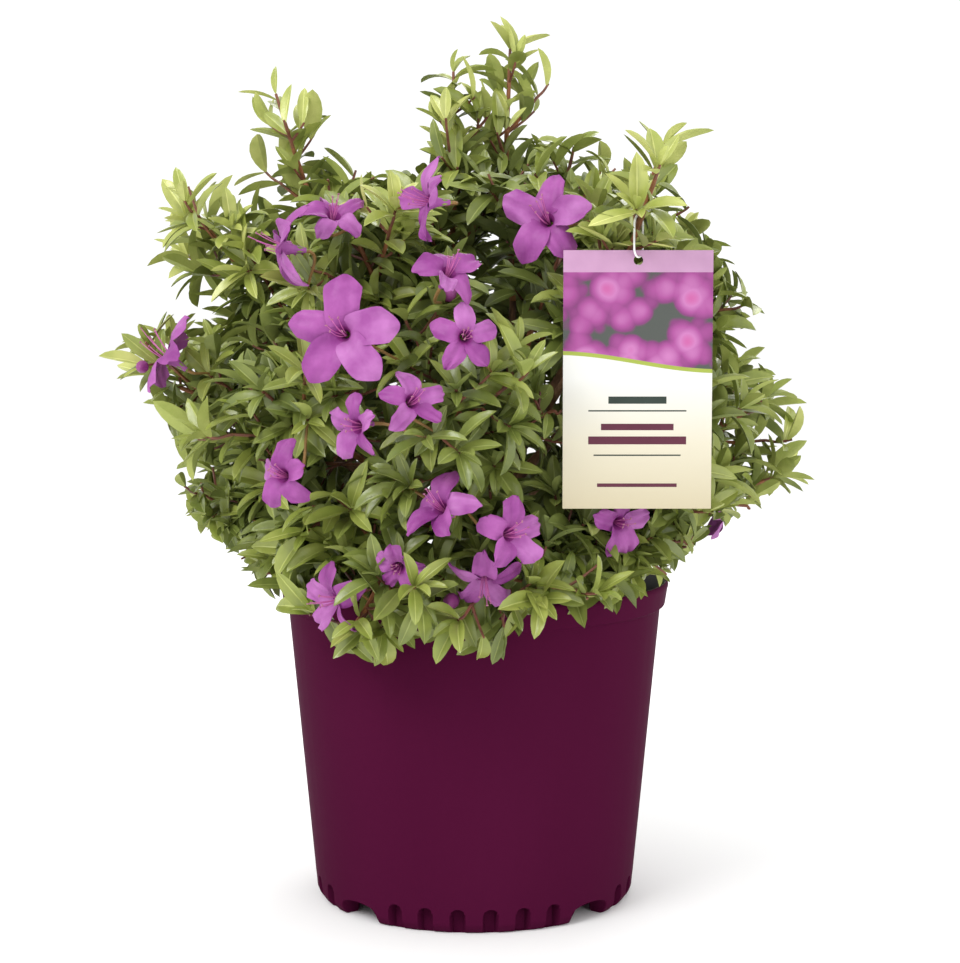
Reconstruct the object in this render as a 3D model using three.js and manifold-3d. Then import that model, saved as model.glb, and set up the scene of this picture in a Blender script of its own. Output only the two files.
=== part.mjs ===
// A young azalea shrub in its nursery pot, with a blank hang tag on one shoot.
// Millimetres, +Z up. The origin is on the ground on the pot's axis, and the front faces -Y.
// Azimuths are in degrees seen from above: 0 is the front, 90 the right, 180 the back, -90 the left.
import * as THREE from 'three';
import { mergeVertices } from 'three/addons/utils/BufferGeometryUtils.js';
import Module from 'manifold-3d';

const wasm = await Module();
wasm.setup();

const seatGap = 0.3;
const finestEdge = 0.012;
const slimmings = [1, 0.97, 0.94, 0.91, 0.88];

// The pot: a tapered wall under a collar, on a ring foot with niches and drain notches.
const potHeight = 200;
const lipRadius = 122;
const collarRadius = 120;
const collarHeight = 16;
const collarRoll = 1.5;
const lipRound = 3;
const lipRecess = 0.6;
const lipWidth = 3.4;
const shoulderRadius = 117;
const heelRadius = 100.4;
const heelHeight = 7;
const footRadius = 96.5;
const footInnerRadius = 88;
const wallThickness = 2.6;
const plateBottom = 16;
const plateThickness = 2.5;
const potSides = 64;
const nicheStep = 11.25;
const nicheWidth = 7.6;
const nicheHeight = 14.5;
const nicheArch = 3;
const nicheDepth = 2.6;
const nichesPerQuarter = 6;
const notchWidth = 30;
const notchHeight = 11;
const notchArch = 5;
const cutterDepth = 30;
const mixDepthBelowLip = 18;

// The trunk, from its flat cut on the potting mix to the top of its fork.
const trunkHeight = 82;
const trunkRadius = 9;
const trunkTipRadius = 6;
const rootFlare = 7;
const flareFall = 9;
const flareLobes = 5;
const trunkLean = new THREE.Vector3(5, -4, 0);
const trunkSides = 10;
const trunkSteps = 4;
const lobeDepth = 0.35;

// The limbs. Each is a line of joints: its stub on the trunk runs to the first bough joint,
// its bough to the first stem joint, and the stem of its mass of foliage to the last one.
const jointShares = [0, 0.1, 0.22, 0.33, 0.45, 0.63, 0.82, 1];
const jointRadii = [4.6, 4, 3.5, 3, 2.5, 2.2, 1.9, 1.6];
const boughJoint = 1;
const stemJoint = 4;
const stubSides = 4;
const boughSides = 5;
const steepestFork = 62;
const lowestFork = 15;
const highestForkBelowTop = 6;
const launchSteepening = 0.55;
const launchShare = 0.38;
const landingShare = 0.28;

// The foliage, with leaves larger than life because there are fewer than on the real shrub.
const leafLength = 48;
const leafWidth = 20;
const leafThickness = 1.3;
const leafFold = 2.2;
const leafRoom = 5;
const shootRoom = 2.5;
const leafWidest = 0.46;
const mostPerLeaf = 20;
const leafStep = 6.5;
const leafOpening = 54;
const leafOpeningSway = 12;
const leafSway = 24;
const leafSink = 0.6;
const firstLeafBack = 2;
const smallestLeaf = 0.8;
const leafVariation = 0.3;
const smallerTip = 0.75;
const secondTry = 0.8;
const longShoot = 42;
const longShootLeaves = 5;
const shortShootLeaves = 4;
const leadLeaves = 5;
const shootShare = 0.48;
const shootTipShare = 0.85;
const twigSides = 3;
const ranks = 3;
const firstTurn = 60;
const shootLift = 0.25;
const shootsPerMass = 5;
const firstShoot = 0.1;
const shootStretch = 0.78;
const shootShortening = 0.35;
const shortestShoot = 0.82;
const shootVariation = 0.36;
const shootOpening = 50;
const shootOpeningSway = 14;
const shootSway = 40;
const shootChecks = [0.25, 0.4, 0.55, 0.7, 0.85, 1];
const shootBloomChecks = [0.4, 0.7, 1];
const shootTries = [[1, 0], [1, 28], [1, -28], [0.75, 0], [0.75, 28], [0.75, -28], [0.5, 0]];
const cellGap = 0.5;
const boughRoom = 6;
const potRoom = 4.5;

// The crown's outline: how far it reaches to the left and right at a height, as it looks from
// the front at eye height. Above the shoulders only the spires go on, each close to its stem.
const crownOutline = [
  { height: 150, left: 118, right: 118 },
  { height: 200, left: 142, right: 127 },
  { height: 230, left: 169, right: 149 },
  { height: 245, left: 190, right: 174 },
  { height: 262, left: 196, right: 224 },
  { height: 275, left: 196, right: 224 },
  { height: 300, left: 192, right: 208 },
  { height: 340, left: 236, right: 208 },
  { height: 400, left: 215, right: 176 },
  { height: 428, left: 200, right: 162 },
  { height: 446, left: 194, right: 124 },
  { height: 460, left: 196, right: 118 },
];
// The crown's lower edge over the pot, by how far to the right.
const crownFoot = [
  { right: -140, height: 193 },
  { right: -105, height: 176 },
  { right: -86, height: 148 },
  { right: -64, height: 134 },
  { right: 10, height: 140 },
  { right: 30, height: 158 },
  { right: 100, height: 185 },
  { right: 132, height: 202 },
];
const eyeDistance = 1300;
const eyeHeight = 383;
const shoulders = 458;
const spireWidth = 27;
const uprightPitch = 45;

// The blooms, and the crown's outer surface that they stand on.
const crownRadius = 212;
const crownWaist = 320;
const crownRise = 240;
const crownFall = 185;
const bloomTubeLength = 15;
const bloomThroatDepth = 5;
const stalkRadius = 0.8;
const stalkSpread = 1.5;
const sharpestStalk = -0.2;
const bloomDepth = 0.97;
const backBloomDepth = 0.92;
const petalReach = 0.54;
const petalRise = 0.1;
const notchReach = 0.3;
const notchRise = 0.04;
const bloomView = 0.3;
const bloomsApart = 0.5;
const bloomTries = 10;
const bloomMove = 4;
const tubeShare = 0.6;
const ownBloomRoom = 0.42;
const otherBloomRoom = 0.64;

// The hang tag and the loop that it hangs by.
const tagWidth = 82;
const tagHeight = 142;
const tagThickness = 0.8;
const tagHoleRadius = 2.6;
const tagHoleDrop = 5.5;
const loopWidth = 12;
const loopHeight = 24;
const loopRadius = 0.6;
const loopTurn = 60;
const loopBack = 20;
const loopRoom = 8;
const loopSides = 4;
const loopSteps = 16;
const tagRoom = 4;

// Every mass: its furthest leaf tip as azimuth, reach and height, the pitch at which its stem
// ends, and the length of its side shoots. The last four hang over the front of the rim.
const masses = [
  { name: 'top', azimuth: 122, reach: 32, height: 552, pitch: 82, spread: 40 },
  { name: 'top_left', azimuth: -52, reach: 20, height: 532, pitch: 85, spread: 34 },
  { name: 'left_spire', azimuth: -94, reach: 128, height: 520, pitch: 74, spread: 38 },
  { name: 'upper_left', azimuth: -86, reach: 194, height: 456, pitch: 52, spread: 56 },
  { name: 'left', azimuth: -83, reach: 229, height: 338, pitch: 20, spread: 62 },
  { name: 'left_low', azimuth: -90, reach: 200, height: 240, pitch: 2, spread: 54 },
  { name: 'right_low', azimuth: 88, reach: 220, height: 271, pitch: 14, spread: 50 },
  { name: 'right', azimuth: 95, reach: 212, height: 330, pitch: 34, spread: 56 },
  { name: 'upper_right', azimuth: 99, reach: 168, height: 424, pitch: 52, spread: 50 },
  { name: 'right_spire', azimuth: 84, reach: 122, height: 488, pitch: 72, spread: 42 },
  { name: 'tag_shoot', azimuth: 29.5, reach: 218, height: 475, pitch: 60, spread: 44 },
  { name: 'upper_front', azimuth: -32, reach: 150, height: 440, pitch: 52, spread: 62 },
  { name: 'crown_front', azimuth: 46, reach: 90, height: 482, pitch: 70, spread: 60 },
  { name: 'front_left', azimuth: -42, reach: 206, height: 338, pitch: 28, spread: 64 },
  { name: 'front', azimuth: -3, reach: 207, height: 340, pitch: 26, spread: 64 },
  { name: 'front_right', azimuth: 50, reach: 200, height: 318, pitch: 24, spread: 62 },
  { name: 'upper_back_left', azimuth: -152, reach: 146, height: 458, pitch: 58, spread: 66 },
  { name: 'upper_back_right', azimuth: 146, reach: 148, height: 450, pitch: 56, spread: 66 },
  { name: 'back_left', azimuth: -136, reach: 214, height: 345, pitch: 30, spread: 66 },
  { name: 'back', azimuth: 178, reach: 208, height: 336, pitch: 26, spread: 62 },
  { name: 'back_right', azimuth: 136, reach: 214, height: 338, pitch: 30, spread: 66 },
  { name: 'low_back_left', azimuth: -146, reach: 196, height: 238, pitch: 0, spread: 64 },
  { name: 'low_back_right', azimuth: 142, reach: 194, height: 236, pitch: 0, spread: 64 },
  { name: 'rim_left', azimuth: -51, reach: 166, height: 214, pitch: -20, spread: 54 },
  { name: 'rim_front_left', azimuth: -24, reach: 182, height: 170, pitch: -44, spread: 60 },
  { name: 'rim_front', azimuth: 8, reach: 182, height: 182, pitch: -38, spread: 58 },
  { name: 'rim_right', azimuth: 40, reach: 172, height: 214, pitch: -20, spread: 58 },
];

// The blooms on the front: offset to the right, height, width across, and the way each one
// faces, as azimuth and pitch. They stand on the crown's outer surface.
const frontBlooms = [
  { right: -180, height: 347, width: 50, azimuth: -95, pitch: 35 },
  { right: -106, height: 404, width: 46, azimuth: -70, pitch: 5 },
  { right: -84, height: 436, width: 34, azimuth: 20, pitch: 45 },
  { right: -26, height: 428, width: 44, azimuth: -60, pitch: 0 },
  { right: 40, height: 420, width: 50, azimuth: -15, pitch: 15, depth: 0.8 },
  { right: -12, height: 396, width: 36, azimuth: 30, pitch: 40 },
  { right: -3, height: 362, width: 36, azimuth: 10, pitch: 0 },
  { right: -70, height: 358, width: 58, azimuth: -12, pitch: 5 },
  { right: -64, height: 308, width: 34, azimuth: -40, pitch: -5 },
  { right: -31, height: 323, width: 34, azimuth: 30, pitch: 15 },
  { right: -106, height: 280, width: 36, azimuth: -30, pitch: 5 },
  { right: -19, height: 266, width: 42, azimuth: -35, pitch: 25 },
  { right: 21, height: 250, width: 38, azimuth: 38, pitch: 5 },
  { right: 0, height: 224, width: 42, azimuth: 2, pitch: -58 },
  { right: -42, height: 228, width: 27, azimuth: -12, pitch: -20 },
  { right: -80, height: 206, width: 42, azimuth: -60, pitch: -15 },
  { right: 84, height: 264, width: 36, azimuth: 30, pitch: -10 },
];
const backBloomCount = 8;
const backBloomWidth = 44;
const firstBackBloom = 112;
const lowestBackBloom = 225;
const backBloomRise = 190;
const backBloomSway = 10;
const backBloomTurn = 50;
const backBloomLift = 0.3;
const smallestBloom = 0.85;
const bloomVariation = 0.3;
const goldenShare = 0.618;

// Deterministic random numbers from 0 to 1.
function randomFrom(seed) {
  let state = seed >>> 0;
  return () => {
    state = (state + 0x6d2b79f5) >>> 0;
    let t = Math.imul(state ^ (state >>> 15), state | 1);
    t ^= t + Math.imul(t ^ (t >>> 7), t | 61);
    return ((t ^ (t >>> 14)) >>> 0) / 4294967296;
  };
}

const radians = THREE.MathUtils.degToRad;

// A point from its azimuth in degrees, its distance from the axis and its height.
function polar(azimuth, reach, height) {
  const a = radians(azimuth);
  return new THREE.Vector3(reach * Math.sin(a), -reach * Math.cos(a), height);
}

// A unit vector from its azimuth and its pitch above the horizon, both in degrees.
function heading(azimuth, pitch) {
  const p = radians(pitch);
  return polar(azimuth, Math.cos(p), Math.sin(p));
}

// A closed geometry as a solid for cutting and joining.
function solidOf(geometry) {
  const bare = geometry.clone();
  bare.deleteAttribute('normal');
  bare.deleteAttribute('uv');
  const merged = mergeVertices(bare, 1e-4);
  return new wasm.Manifold(new wasm.Mesh({
    numProp: 3,
    vertProperties: new Float32Array(merged.attributes.position.array),
    triVerts: new Uint32Array(merged.index.array),
  }));
}

// The largest closed body of a solid as a geometry.
function geometryOf(solid) {
  const bodies = solid.decompose().sort((a, b) => b.volume() - a.volume());
  const mesh = bodies[0].getMesh();
  const geometry = new THREE.BufferGeometry();
  geometry.setAttribute('position', new THREE.BufferAttribute(mesh.vertProperties, 3));
  geometry.setIndex(new THREE.BufferAttribute(mesh.triVerts, 1));
  geometry.computeVertexNormals();
  return geometry;
}

// The length of a solid's shortest edge.
function shortestEdge(solid) {
  const { vertProperties: v, triVerts, numProp } = solid.getMesh();
  let shortest = Infinity;
  for (let i = 0; i < triVerts.length; i++) {
    const a = triVerts[i] * numProp;
    const b = triVerts[i % 3 === 2 ? i - 2 : i + 1] * numProp;
    const edge = Math.hypot(v[a] - v[b], v[a + 1] - v[b + 1], v[a + 2] - v[b + 2]);
    shortest = Math.min(shortest, edge);
  }
  return shortest;
}

// A solid joined with a piece, or nothing where the two meet in an edge too short to keep.
function grownBy(whole, piece) {
  const grown = whole.add(piece);
  return shortestEdge(grown) < finestEdge ? null : grown;
}

// A solid joined with a limb, made slightly slimmer where that is needed for clean edges.
function withLimb(whole, joints, sides) {
  for (const slimming of slimmings) {
    const slim = joints.map((joint) => ({ ...joint, radius: joint.radius * slimming }));
    const grown = grownBy(whole, limb(slim, sides));
    if (grown) return grown;
  }
  return whole;
}

const group = new THREE.Group();

function addNode(name, geometry, material) {
  const mesh = new THREE.Mesh(geometry, material);
  mesh.name = name;
  group.add(mesh);
}

// A unit vector square to a direction.
function sideways(direction) {
  const isSteep = Math.abs(direction.z) > 0.9;
  const reference = isSteep ? new THREE.Vector3(0, 1, 0) : new THREE.Vector3(0, 0, 1);
  return new THREE.Vector3().crossVectors(direction, reference).normalize();
}

// A vector made square to a direction, at unit length.
function squared(vector, direction) {
  return vector.clone().addScaledVector(direction, -vector.dot(direction)).normalize();
}

// The joints of a limb through a row of points: where each is, the way the limb runs, which way
// its first corner points, and its radius.
function jointsThrough(points, radii) {
  let across = null;
  return points.map((point, i) => {
    const before = points[Math.max(0, i - 1)];
    const after = points[Math.min(points.length - 1, i + 1)];
    const tangent = after.clone().sub(before).normalize();
    across = across === null ? sideways(tangent) : squared(across, tangent);
    return { point, tangent, across, radius: radii[i] };
  });
}

// The place on a limb at a distance back from its tip, as a joint.
function backFrom(joints, distance) {
  let left = distance;
  let i = joints.length - 1;
  let length = joints[i].point.distanceTo(joints[i - 1].point);
  while (left > length && i > 1) {
    left -= length;
    i -= 1;
    length = joints[i].point.distanceTo(joints[i - 1].point);
  }
  const from = joints[i - 1];
  const to = joints[i];
  const share = Math.max(0, 1 - left / length);
  const tangent = to.point.clone().sub(from.point).normalize();
  return {
    point: from.point.clone().lerp(to.point, share),
    tangent,
    across: squared(to.across, tangent),
    radius: from.radius + (to.radius - from.radius) * share,
  };
}

// A direction that leaves a joint sideways at a turn round it, opened out from the limb's own.
function outFrom(joint, turn, opening) {
  const over = new THREE.Vector3().crossVectors(joint.tangent, joint.across);
  return joint.tangent.clone().multiplyScalar(Math.cos(opening))
    .addScaledVector(joint.across, Math.sin(opening) * Math.cos(turn))
    .addScaledVector(over, Math.sin(opening) * Math.sin(turn))
    .normalize();
}

function lengthOf(joints) {
  return joints.slice(1).reduce((sum, joint, i) => sum + joint.point.distanceTo(joints[i].point), 0);
}

// The same joints with the first one moved on, to leave a gap before the limb.
function startedLater(joints, gap) {
  const first = joints[0];
  const point = first.point.clone().addScaledVector(first.tangent, gap);
  return [{ ...first, point }, ...joints.slice(1)];
}

// The corners of a limb at a joint.
function ringAt(joint, sides) {
  const ring = [];
  for (let k = 0; k < sides; k++) {
    const out = outFrom(joint, (k / sides) * 2 * Math.PI, Math.PI / 2);
    ring.push(joint.point.clone().addScaledVector(out, joint.radius));
  }
  return ring;
}

// A closed limb through its joints.
function limb(joints, sides) {
  const rings = joints.map((joint) => ringAt(joint, sides));
  return solidOf(new THREE.BufferGeometry().setFromPoints(ringTriangles(rings)));
}

// The triangles round a stack of rings, with both ends closed.
function ringTriangles(rings) {
  const sides = rings[0].length;
  const last = rings[rings.length - 1];
  const triangles = [];
  for (let i = 0; i + 1 < rings.length; i++) {
    for (let k = 0; k < sides; k++) {
      const next = (k + 1) % sides;
      triangles.push(rings[i][k], rings[i][next], rings[i + 1][next]);
      triangles.push(rings[i][k], rings[i + 1][next], rings[i + 1][k]);
    }
  }
  for (let k = 1; k + 1 < sides; k++) {
    triangles.push(rings[0][0], rings[0][k + 1], rings[0][k]);
    triangles.push(last[0], last[k], last[k + 1]);
  }
  return triangles;
}

// The six corners of a leaf or petal: root, tip, both edges, and both faces at its widest.
function bladeCorners(root, along, normal, length, width, thickness, widest, fold) {
  const across = new THREE.Vector3().crossVectors(along, normal).normalize();
  const middle = root.clone().addScaledVector(along, length * widest);
  const corner = (side, rise) => middle.clone()
    .addScaledVector(across, side)
    .addScaledVector(normal, rise);
  return {
    root,
    tip: root.clone().addScaledVector(along, length),
    right: corner(width / 2, fold),
    left: corner(-width / 2, fold),
    top: corner(0, thickness / 2),
    bottom: corner(0, -thickness / 2),
  };
}

// A leaf or petal of eight faces.
function blade(corners) {
  const geometry = new THREE.OctahedronGeometry(1);
  const position = geometry.attributes.position;
  for (let i = 0; i < position.count; i++) {
    const x = Math.round(position.getX(i));
    const y = Math.round(position.getY(i));
    const z = Math.round(position.getZ(i));
    let corner = corners.top;
    if (x > 0) corner = corners.right;
    if (x < 0) corner = corners.left;
    if (y > 0) corner = corners.tip;
    if (y < 0) corner = corners.root;
    if (z < 0) corner = corners.bottom;
    position.setXYZ(i, corner.x, corner.y, corner.z);
  }
  return solidOf(geometry);
}

const mixTop = potHeight - mixDepthBelowLip;

// The outer radius of the pot's wall at a height.
function potRadiusAt(height) {
  if (height > potHeight - collarHeight) return lipRadius;
  const share = (height - heelHeight) / (potHeight - collarHeight - heelHeight);
  return heelRadius + (shoulderRadius - heelRadius) * THREE.MathUtils.clamp(share, 0, 1);
}

// A cutter with an arched outline, standing on the ground and running outwards from a radius.
function archCutter(width, height, archRise, azimuth, radius) {
  const half = width / 2;
  const outline = new THREE.Shape();
  outline.moveTo(-half, -1);
  outline.lineTo(half, -1);
  outline.lineTo(half, height - archRise);
  outline.absellipse(0, height - archRise, half, archRise, 0, Math.PI, false);
  const settings = { depth: cutterDepth, bevelEnabled: false, curveSegments: 2 };
  const geometry = new THREE.ExtrudeGeometry(outline, settings);
  geometry.rotateX(Math.PI / 2);
  geometry.translate(0, -radius, 0);
  geometry.rotateZ(radians(azimuth));
  return solidOf(geometry);
}

function makePot(material) {
  const collarFoot = potHeight - collarHeight;
  const innerHeel = heelRadius - wallThickness;
  const profile = [
    [0, plateBottom],
    [footInnerRadius, plateBottom],
    [footInnerRadius, 0],
    [footRadius, 0],
    [heelRadius, heelHeight],
    [shoulderRadius, collarFoot],
    [collarRadius, collarFoot + collarRoll],
    [lipRadius, potHeight - lipRound],
    [lipRadius - lipRecess, potHeight],
    [lipRadius - lipWidth, potHeight],
    [shoulderRadius - wallThickness, mixTop],
    [innerHeel, plateBottom + plateThickness],
    [0, plateBottom + plateThickness],
  ].map(([r, z]) => new THREE.Vector2(r, z));
  const lathe = new THREE.LatheGeometry(profile, potSides, Math.PI / potSides);
  lathe.rotateX(Math.PI / 2);
  let pot = solidOf(lathe);
  for (let start = 0; start < 360; start += 90) {
    for (let i = 0; i < nichesPerQuarter; i++) {
      const azimuth = start + (i - (nichesPerQuarter - 1) / 2) * nicheStep;
      const radius = footRadius - nicheDepth;
      pot = pot.subtract(archCutter(nicheWidth, nicheHeight, nicheArch, azimuth, radius));
    }
    const radius = footInnerRadius - notchArch;
    pot = pot.subtract(archCutter(notchWidth, notchHeight, notchArch, start + 45, radius));
  }
  addNode('pot', geometryOf(pot), material);
}

function makeMix(material) {
  const plateTop = plateBottom + plateThickness + seatGap;
  const foot = heelRadius - wallThickness - 2 * seatGap;
  const top = shoulderRadius - wallThickness - 2 * seatGap;
  const height = mixTop - plateTop;
  const geometry = new THREE.CylinderGeometry(top, foot, height, potSides / 2);
  geometry.rotateX(Math.PI / 2);
  geometry.rotateZ(Math.PI / 2);
  geometry.translate(0, 0, plateTop + height / 2);
  addNode('potting_mix', geometry, material);
}

const trunkFoot = mixTop + seatGap;

// The trunk's centre at a height.
function trunkCentre(height) {
  const share = (height - trunkFoot) / trunkHeight;
  return trunkLean.clone().multiplyScalar(share * share).setZ(height);
}

// A point on a curve with four control points.
function bezier(control, t) {
  const s = 1 - t;
  return new THREE.Vector3()
    .addScaledVector(control[0], s * s * s)
    .addScaledVector(control[1], 3 * s * s * t)
    .addScaledVector(control[2], 3 * s * t * t)
    .addScaledVector(control[3], t * t * t);
}

const lowestTip = Math.min(...masses.map((mass) => mass.height));
const highestTip = Math.max(...masses.map((mass) => mass.height));

// The joints of a mass's limb, out of the trunk and on to where the wood of its stem ends.
function limbJoints(mass) {
  const share = (mass.height - lowestTip) / (highestTip - lowestTip);
  const forkRange = trunkHeight - highestForkBelowTop - lowestFork;
  const start = trunkCentre(trunkFoot + lowestFork + share * forkRange);
  const tipHeading = heading(mass.azimuth, mass.pitch);
  const end = polar(mass.azimuth, mass.reach, mass.height).addScaledVector(tipHeading, -leafLength);
  const chord = end.clone().sub(start);
  const length = chord.length();
  const chordPitch = THREE.MathUtils.radToDeg(Math.atan2(chord.z, Math.hypot(chord.x, chord.y)));
  const steeper = chordPitch + launchSteepening * (chordPitch - mass.pitch);
  const launchPitch = Math.min(steepestFork, steeper);
  const control = [
    start,
    start.clone().addScaledVector(heading(mass.azimuth, launchPitch), length * launchShare),
    end.clone().addScaledVector(tipHeading, -length * landingShare),
    end,
  ];
  return jointsThrough(jointShares.map((t) => bezier(control, t)), jointRadii);
}

for (const mass of masses) {
  mass.joints = limbJoints(mass);
  mass.stem = mass.joints.slice(stemJoint);
  mass.stemLength = lengthOf(mass.stem);
  mass.tip = polar(mass.azimuth, mass.reach, mass.height);
  mass.spine = [...mass.stem, { point: mass.tip }];
}

function segmentDistance(p, a, b) {
  const ab = b.clone().sub(a);
  const t = THREE.MathUtils.clamp(p.clone().sub(a).dot(ab) / ab.lengthSq(), 0, 1);
  return p.distanceTo(a.clone().addScaledVector(ab, t));
}

// How far a point is from the centre line of a limb.
function limbDistance(p, joints) {
  let nearest = Infinity;
  for (let i = 1; i < joints.length; i++) {
    nearest = Math.min(nearest, segmentDistance(p, joints[i - 1].point, joints[i].point));
  }
  return nearest;
}

// Whether a point is well inside its own mass's space: nearer to its stem than to any other.
function isInOwnSpace(p, own) {
  const limit = limbDistance(p, own.stem) + 2 * cellGap;
  return masses.every((mass) => mass === own || limbDistance(p, mass.stem) > limit);
}

// A value read from a table between the two rows whose keys a place lies between.
function tableAt(rows, key, value, place) {
  const above = rows.findIndex((row) => row[key] > place);
  if (above < 1) return null;
  const [low, high] = [rows[above - 1], rows[above]];
  const share = (place - low[key]) / (high[key] - low[key]);
  return low[value] + (high[value] - low[value]) * share;
}

// Whether a point of a mass is inside the crown's outline.
function isInOutline(p, own) {
  const nearness = eyeDistance / (eyeDistance + p.y);
  const x = p.x * nearness;
  const height = eyeHeight + (p.z - eyeHeight) * nearness;
  if (height > shoulders) {
    return own.pitch > uprightPitch && p.z < own.tip.z && limbDistance(p, own.spine) < spireWidth;
  }
  const foot = p.y < 0 ? tableAt(crownFoot, 'right', 'height', x) : null;
  if (foot !== null && height < foot) return false;
  const reach = tableAt(crownOutline, 'height', x < 0 ? 'left' : 'right', height);
  return reach === null || Math.abs(x) < reach;
}

// Whether a point is clear of every stub and bough.
function isClearOfBoughs(p) {
  return masses.every((mass) => {
    const wood = mass.joints.slice(0, stemJoint + 1);
    return limbDistance(p, wood) > boughRoom;
  });
}

// Where the tag and its loop hang, on the tag shoot's stem.
const tagMass = masses.find((mass) => mass.name === 'tag_shoot');
const loopSeat = backFrom(tagMass.stem, loopBack);
const loopSlope = Math.asin(loopSeat.tangent.z);
const loopClimb = loopSeat.radius / Math.cos(loopSlope) + loopRadius * Math.tan(loopSlope);
const loopTop = loopSeat.point.z + loopClimb + seatGap + 2 * loopRadius;
const loopFoot = loopSeat.point.clone().setZ(loopTop - loopHeight);
const tagTop = loopFoot.z + 2 * loopRadius + seatGap - tagHoleRadius + tagHoleDrop;
const tagCentre = new THREE.Vector3(loopSeat.point.x, loopSeat.point.y, tagTop - tagHeight / 2);

// Whether a point is clear of the pot, the mix, the tag and its loop.
function isClearOfFixtures(p) {
  const r = Math.hypot(p.x, p.y);
  if (p.z < potHeight + potRoom && r < potRadiusAt(p.z) + potRoom) return false;
  const beside = Math.abs(p.x - tagCentre.x) < tagWidth / 2 + tagRoom;
  const level = Math.abs(p.z - tagCentre.z) < tagHeight / 2 + tagRoom;
  if (beside && level && p.y < tagCentre.y + tagRoom) return false;
  return segmentDistance(p, loopFoot, loopSeat.point) > loopRoom;
}

function isClear(p, own) {
  return isClearOfFixtures(p) && isInOutline(p, own) && isInOwnSpace(p, own) && isClearOfBoughs(p);
}

// Points over a blade that stand for all of it.
function bladeSamples(corners) {
  const halfway = (a, b, t) => a.clone().lerp(b, t);
  return [
    corners.tip, corners.left, corners.right, corners.top, corners.bottom,
    halfway(corners.root, corners.top, 0.4), halfway(corners.top, corners.tip, 0.5),
    halfway(corners.left, corners.tip, 0.5), halfway(corners.right, corners.tip, 0.5),
    halfway(corners.root, corners.left, 0.6), halfway(corners.root, corners.right, 0.6),
  ];
}

// The crown's outer radius at a height.
function crownRadiusAt(height) {
  const rise = height > crownWaist ? crownRise : crownFall;
  const share = Math.min(1, Math.abs(height - crownWaist) / rise);
  return crownRadius * Math.sqrt(1 - share * share);
}

// The mass whose space holds a point.
function ownerOf(p) {
  let owner = masses[0];
  for (const mass of masses) {
    if (limbDistance(p, mass.stem) < limbDistance(p, owner.stem)) owner = mass;
  }
  return owner;
}

// The place on a limb nearest to a point, as a joint.
function nearestOn(p, joints) {
  const steps = 24;
  const length = lengthOf(joints);
  let best = backFrom(joints, 0);
  for (let i = 1; i <= steps; i++) {
    const place = backFrom(joints, (i / steps) * length);
    if (p.distanceTo(place.point) < p.distanceTo(best.point)) best = place;
  }
  return best;
}

// Every bloom as a centre, the way it faces, and its width.
function bloomPlaces() {
  const places = frontBlooms.map((bloom) => {
    const outside = crownRadiusAt(bloom.height) * (bloom.depth ?? bloomDepth);
    const reach = Math.max(Math.abs(bloom.right) + 1, outside);
    const forward = Math.sqrt(reach * reach - bloom.right * bloom.right);
    return {
      centre: new THREE.Vector3(bloom.right, -forward, bloom.height),
      facing: heading(bloom.azimuth, bloom.pitch),
      width: bloom.width,
    };
  });
  const random = randomFrom(77);
  for (let i = 0; i < backBloomCount; i++) {
    const round = ((i * goldenShare) % 1) * (360 - 2 * firstBackBloom);
    const azimuth = firstBackBloom + round + (random() - 0.5) * backBloomSway;
    const height = lowestBackBloom + backBloomRise * ((i + 0.5) / backBloomCount);
    const turn = azimuth + (random() - 0.5) * backBloomTurn;
    const facing = heading(turn, (random() - backBloomLift) * backBloomTurn);
    const width = backBloomWidth * (smallestBloom + bloomVariation * random());
    const centre = polar(azimuth, crownRadiusAt(height) * backBloomDepth, height);
    places.push({ centre, facing, width });
  }
  return places;
}

// The corners of a bloom: its rim of five petal tips with a notch after each, and its middles.
function bloomCorners(bloom) {
  const across = sideways(bloom.facing);
  const over = new THREE.Vector3().crossVectors(bloom.facing, across);
  const corner = (turn, radius, rise) => bloom.centre.clone()
    .addScaledVector(across, radius * Math.cos(turn))
    .addScaledVector(over, radius * Math.sin(turn))
    .addScaledVector(bloom.facing, rise);
  const rim = [];
  for (let i = 0; i < 5; i++) {
    const turn = radians(90 + i * 72);
    rim.push(corner(turn, bloom.width * petalReach, bloom.width * petalRise));
    rim.push(corner(turn + radians(36), bloom.width * notchReach, bloom.width * notchRise));
  }
  return {
    rim,
    throat: corner(0, 0, -bloomThroatDepth),
    base: corner(0, 0, -bloomTubeLength),
  };
}

// Whether a bloom's own points are clear. Its rim may spread over the edge of its mass's
// space, because every other mass keeps off it, but not over another mass's stem.
function isBloomClear(bloom, owner) {
  const corners = bloomCorners(bloom);
  return isClear(corners.base, owner) && [bloom.centre, ...corners.rim].every((p) =>
    isClearOfFixtures(p) && isClearOfBoughs(p)
    && masses.every((mass) => mass === owner || limbDistance(p, mass.stem) > boughRoom));
}

// Whether two blooms keep apart.
function areApart(a, b) {
  return a.centre.distanceTo(b.centre) > (a.width + b.width) * bloomsApart;
}

// Adds a bloom to those that have their place. It moves in towards its mass's stem until it is
// clear, or is given up.
function settleBloom(settled, bloom) {
  const { centre } = bloom;
  for (let attempt = 0; attempt < bloomTries; attempt++) {
    const owner = ownerOf(centre);
    if (isBloomClear(bloom, owner) && settled.every((other) => areApart(other, bloom))) {
      return [...settled, { ...bloom, owner }];
    }
    const move = nearestOn(centre, owner.stem).point.sub(centre);
    centre.addScaledVector(move, Math.min(1, bloomMove / move.length()));
  }
  return settled;
}

const blooms = bloomPlaces().reduce(settleBloom, []);

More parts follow.
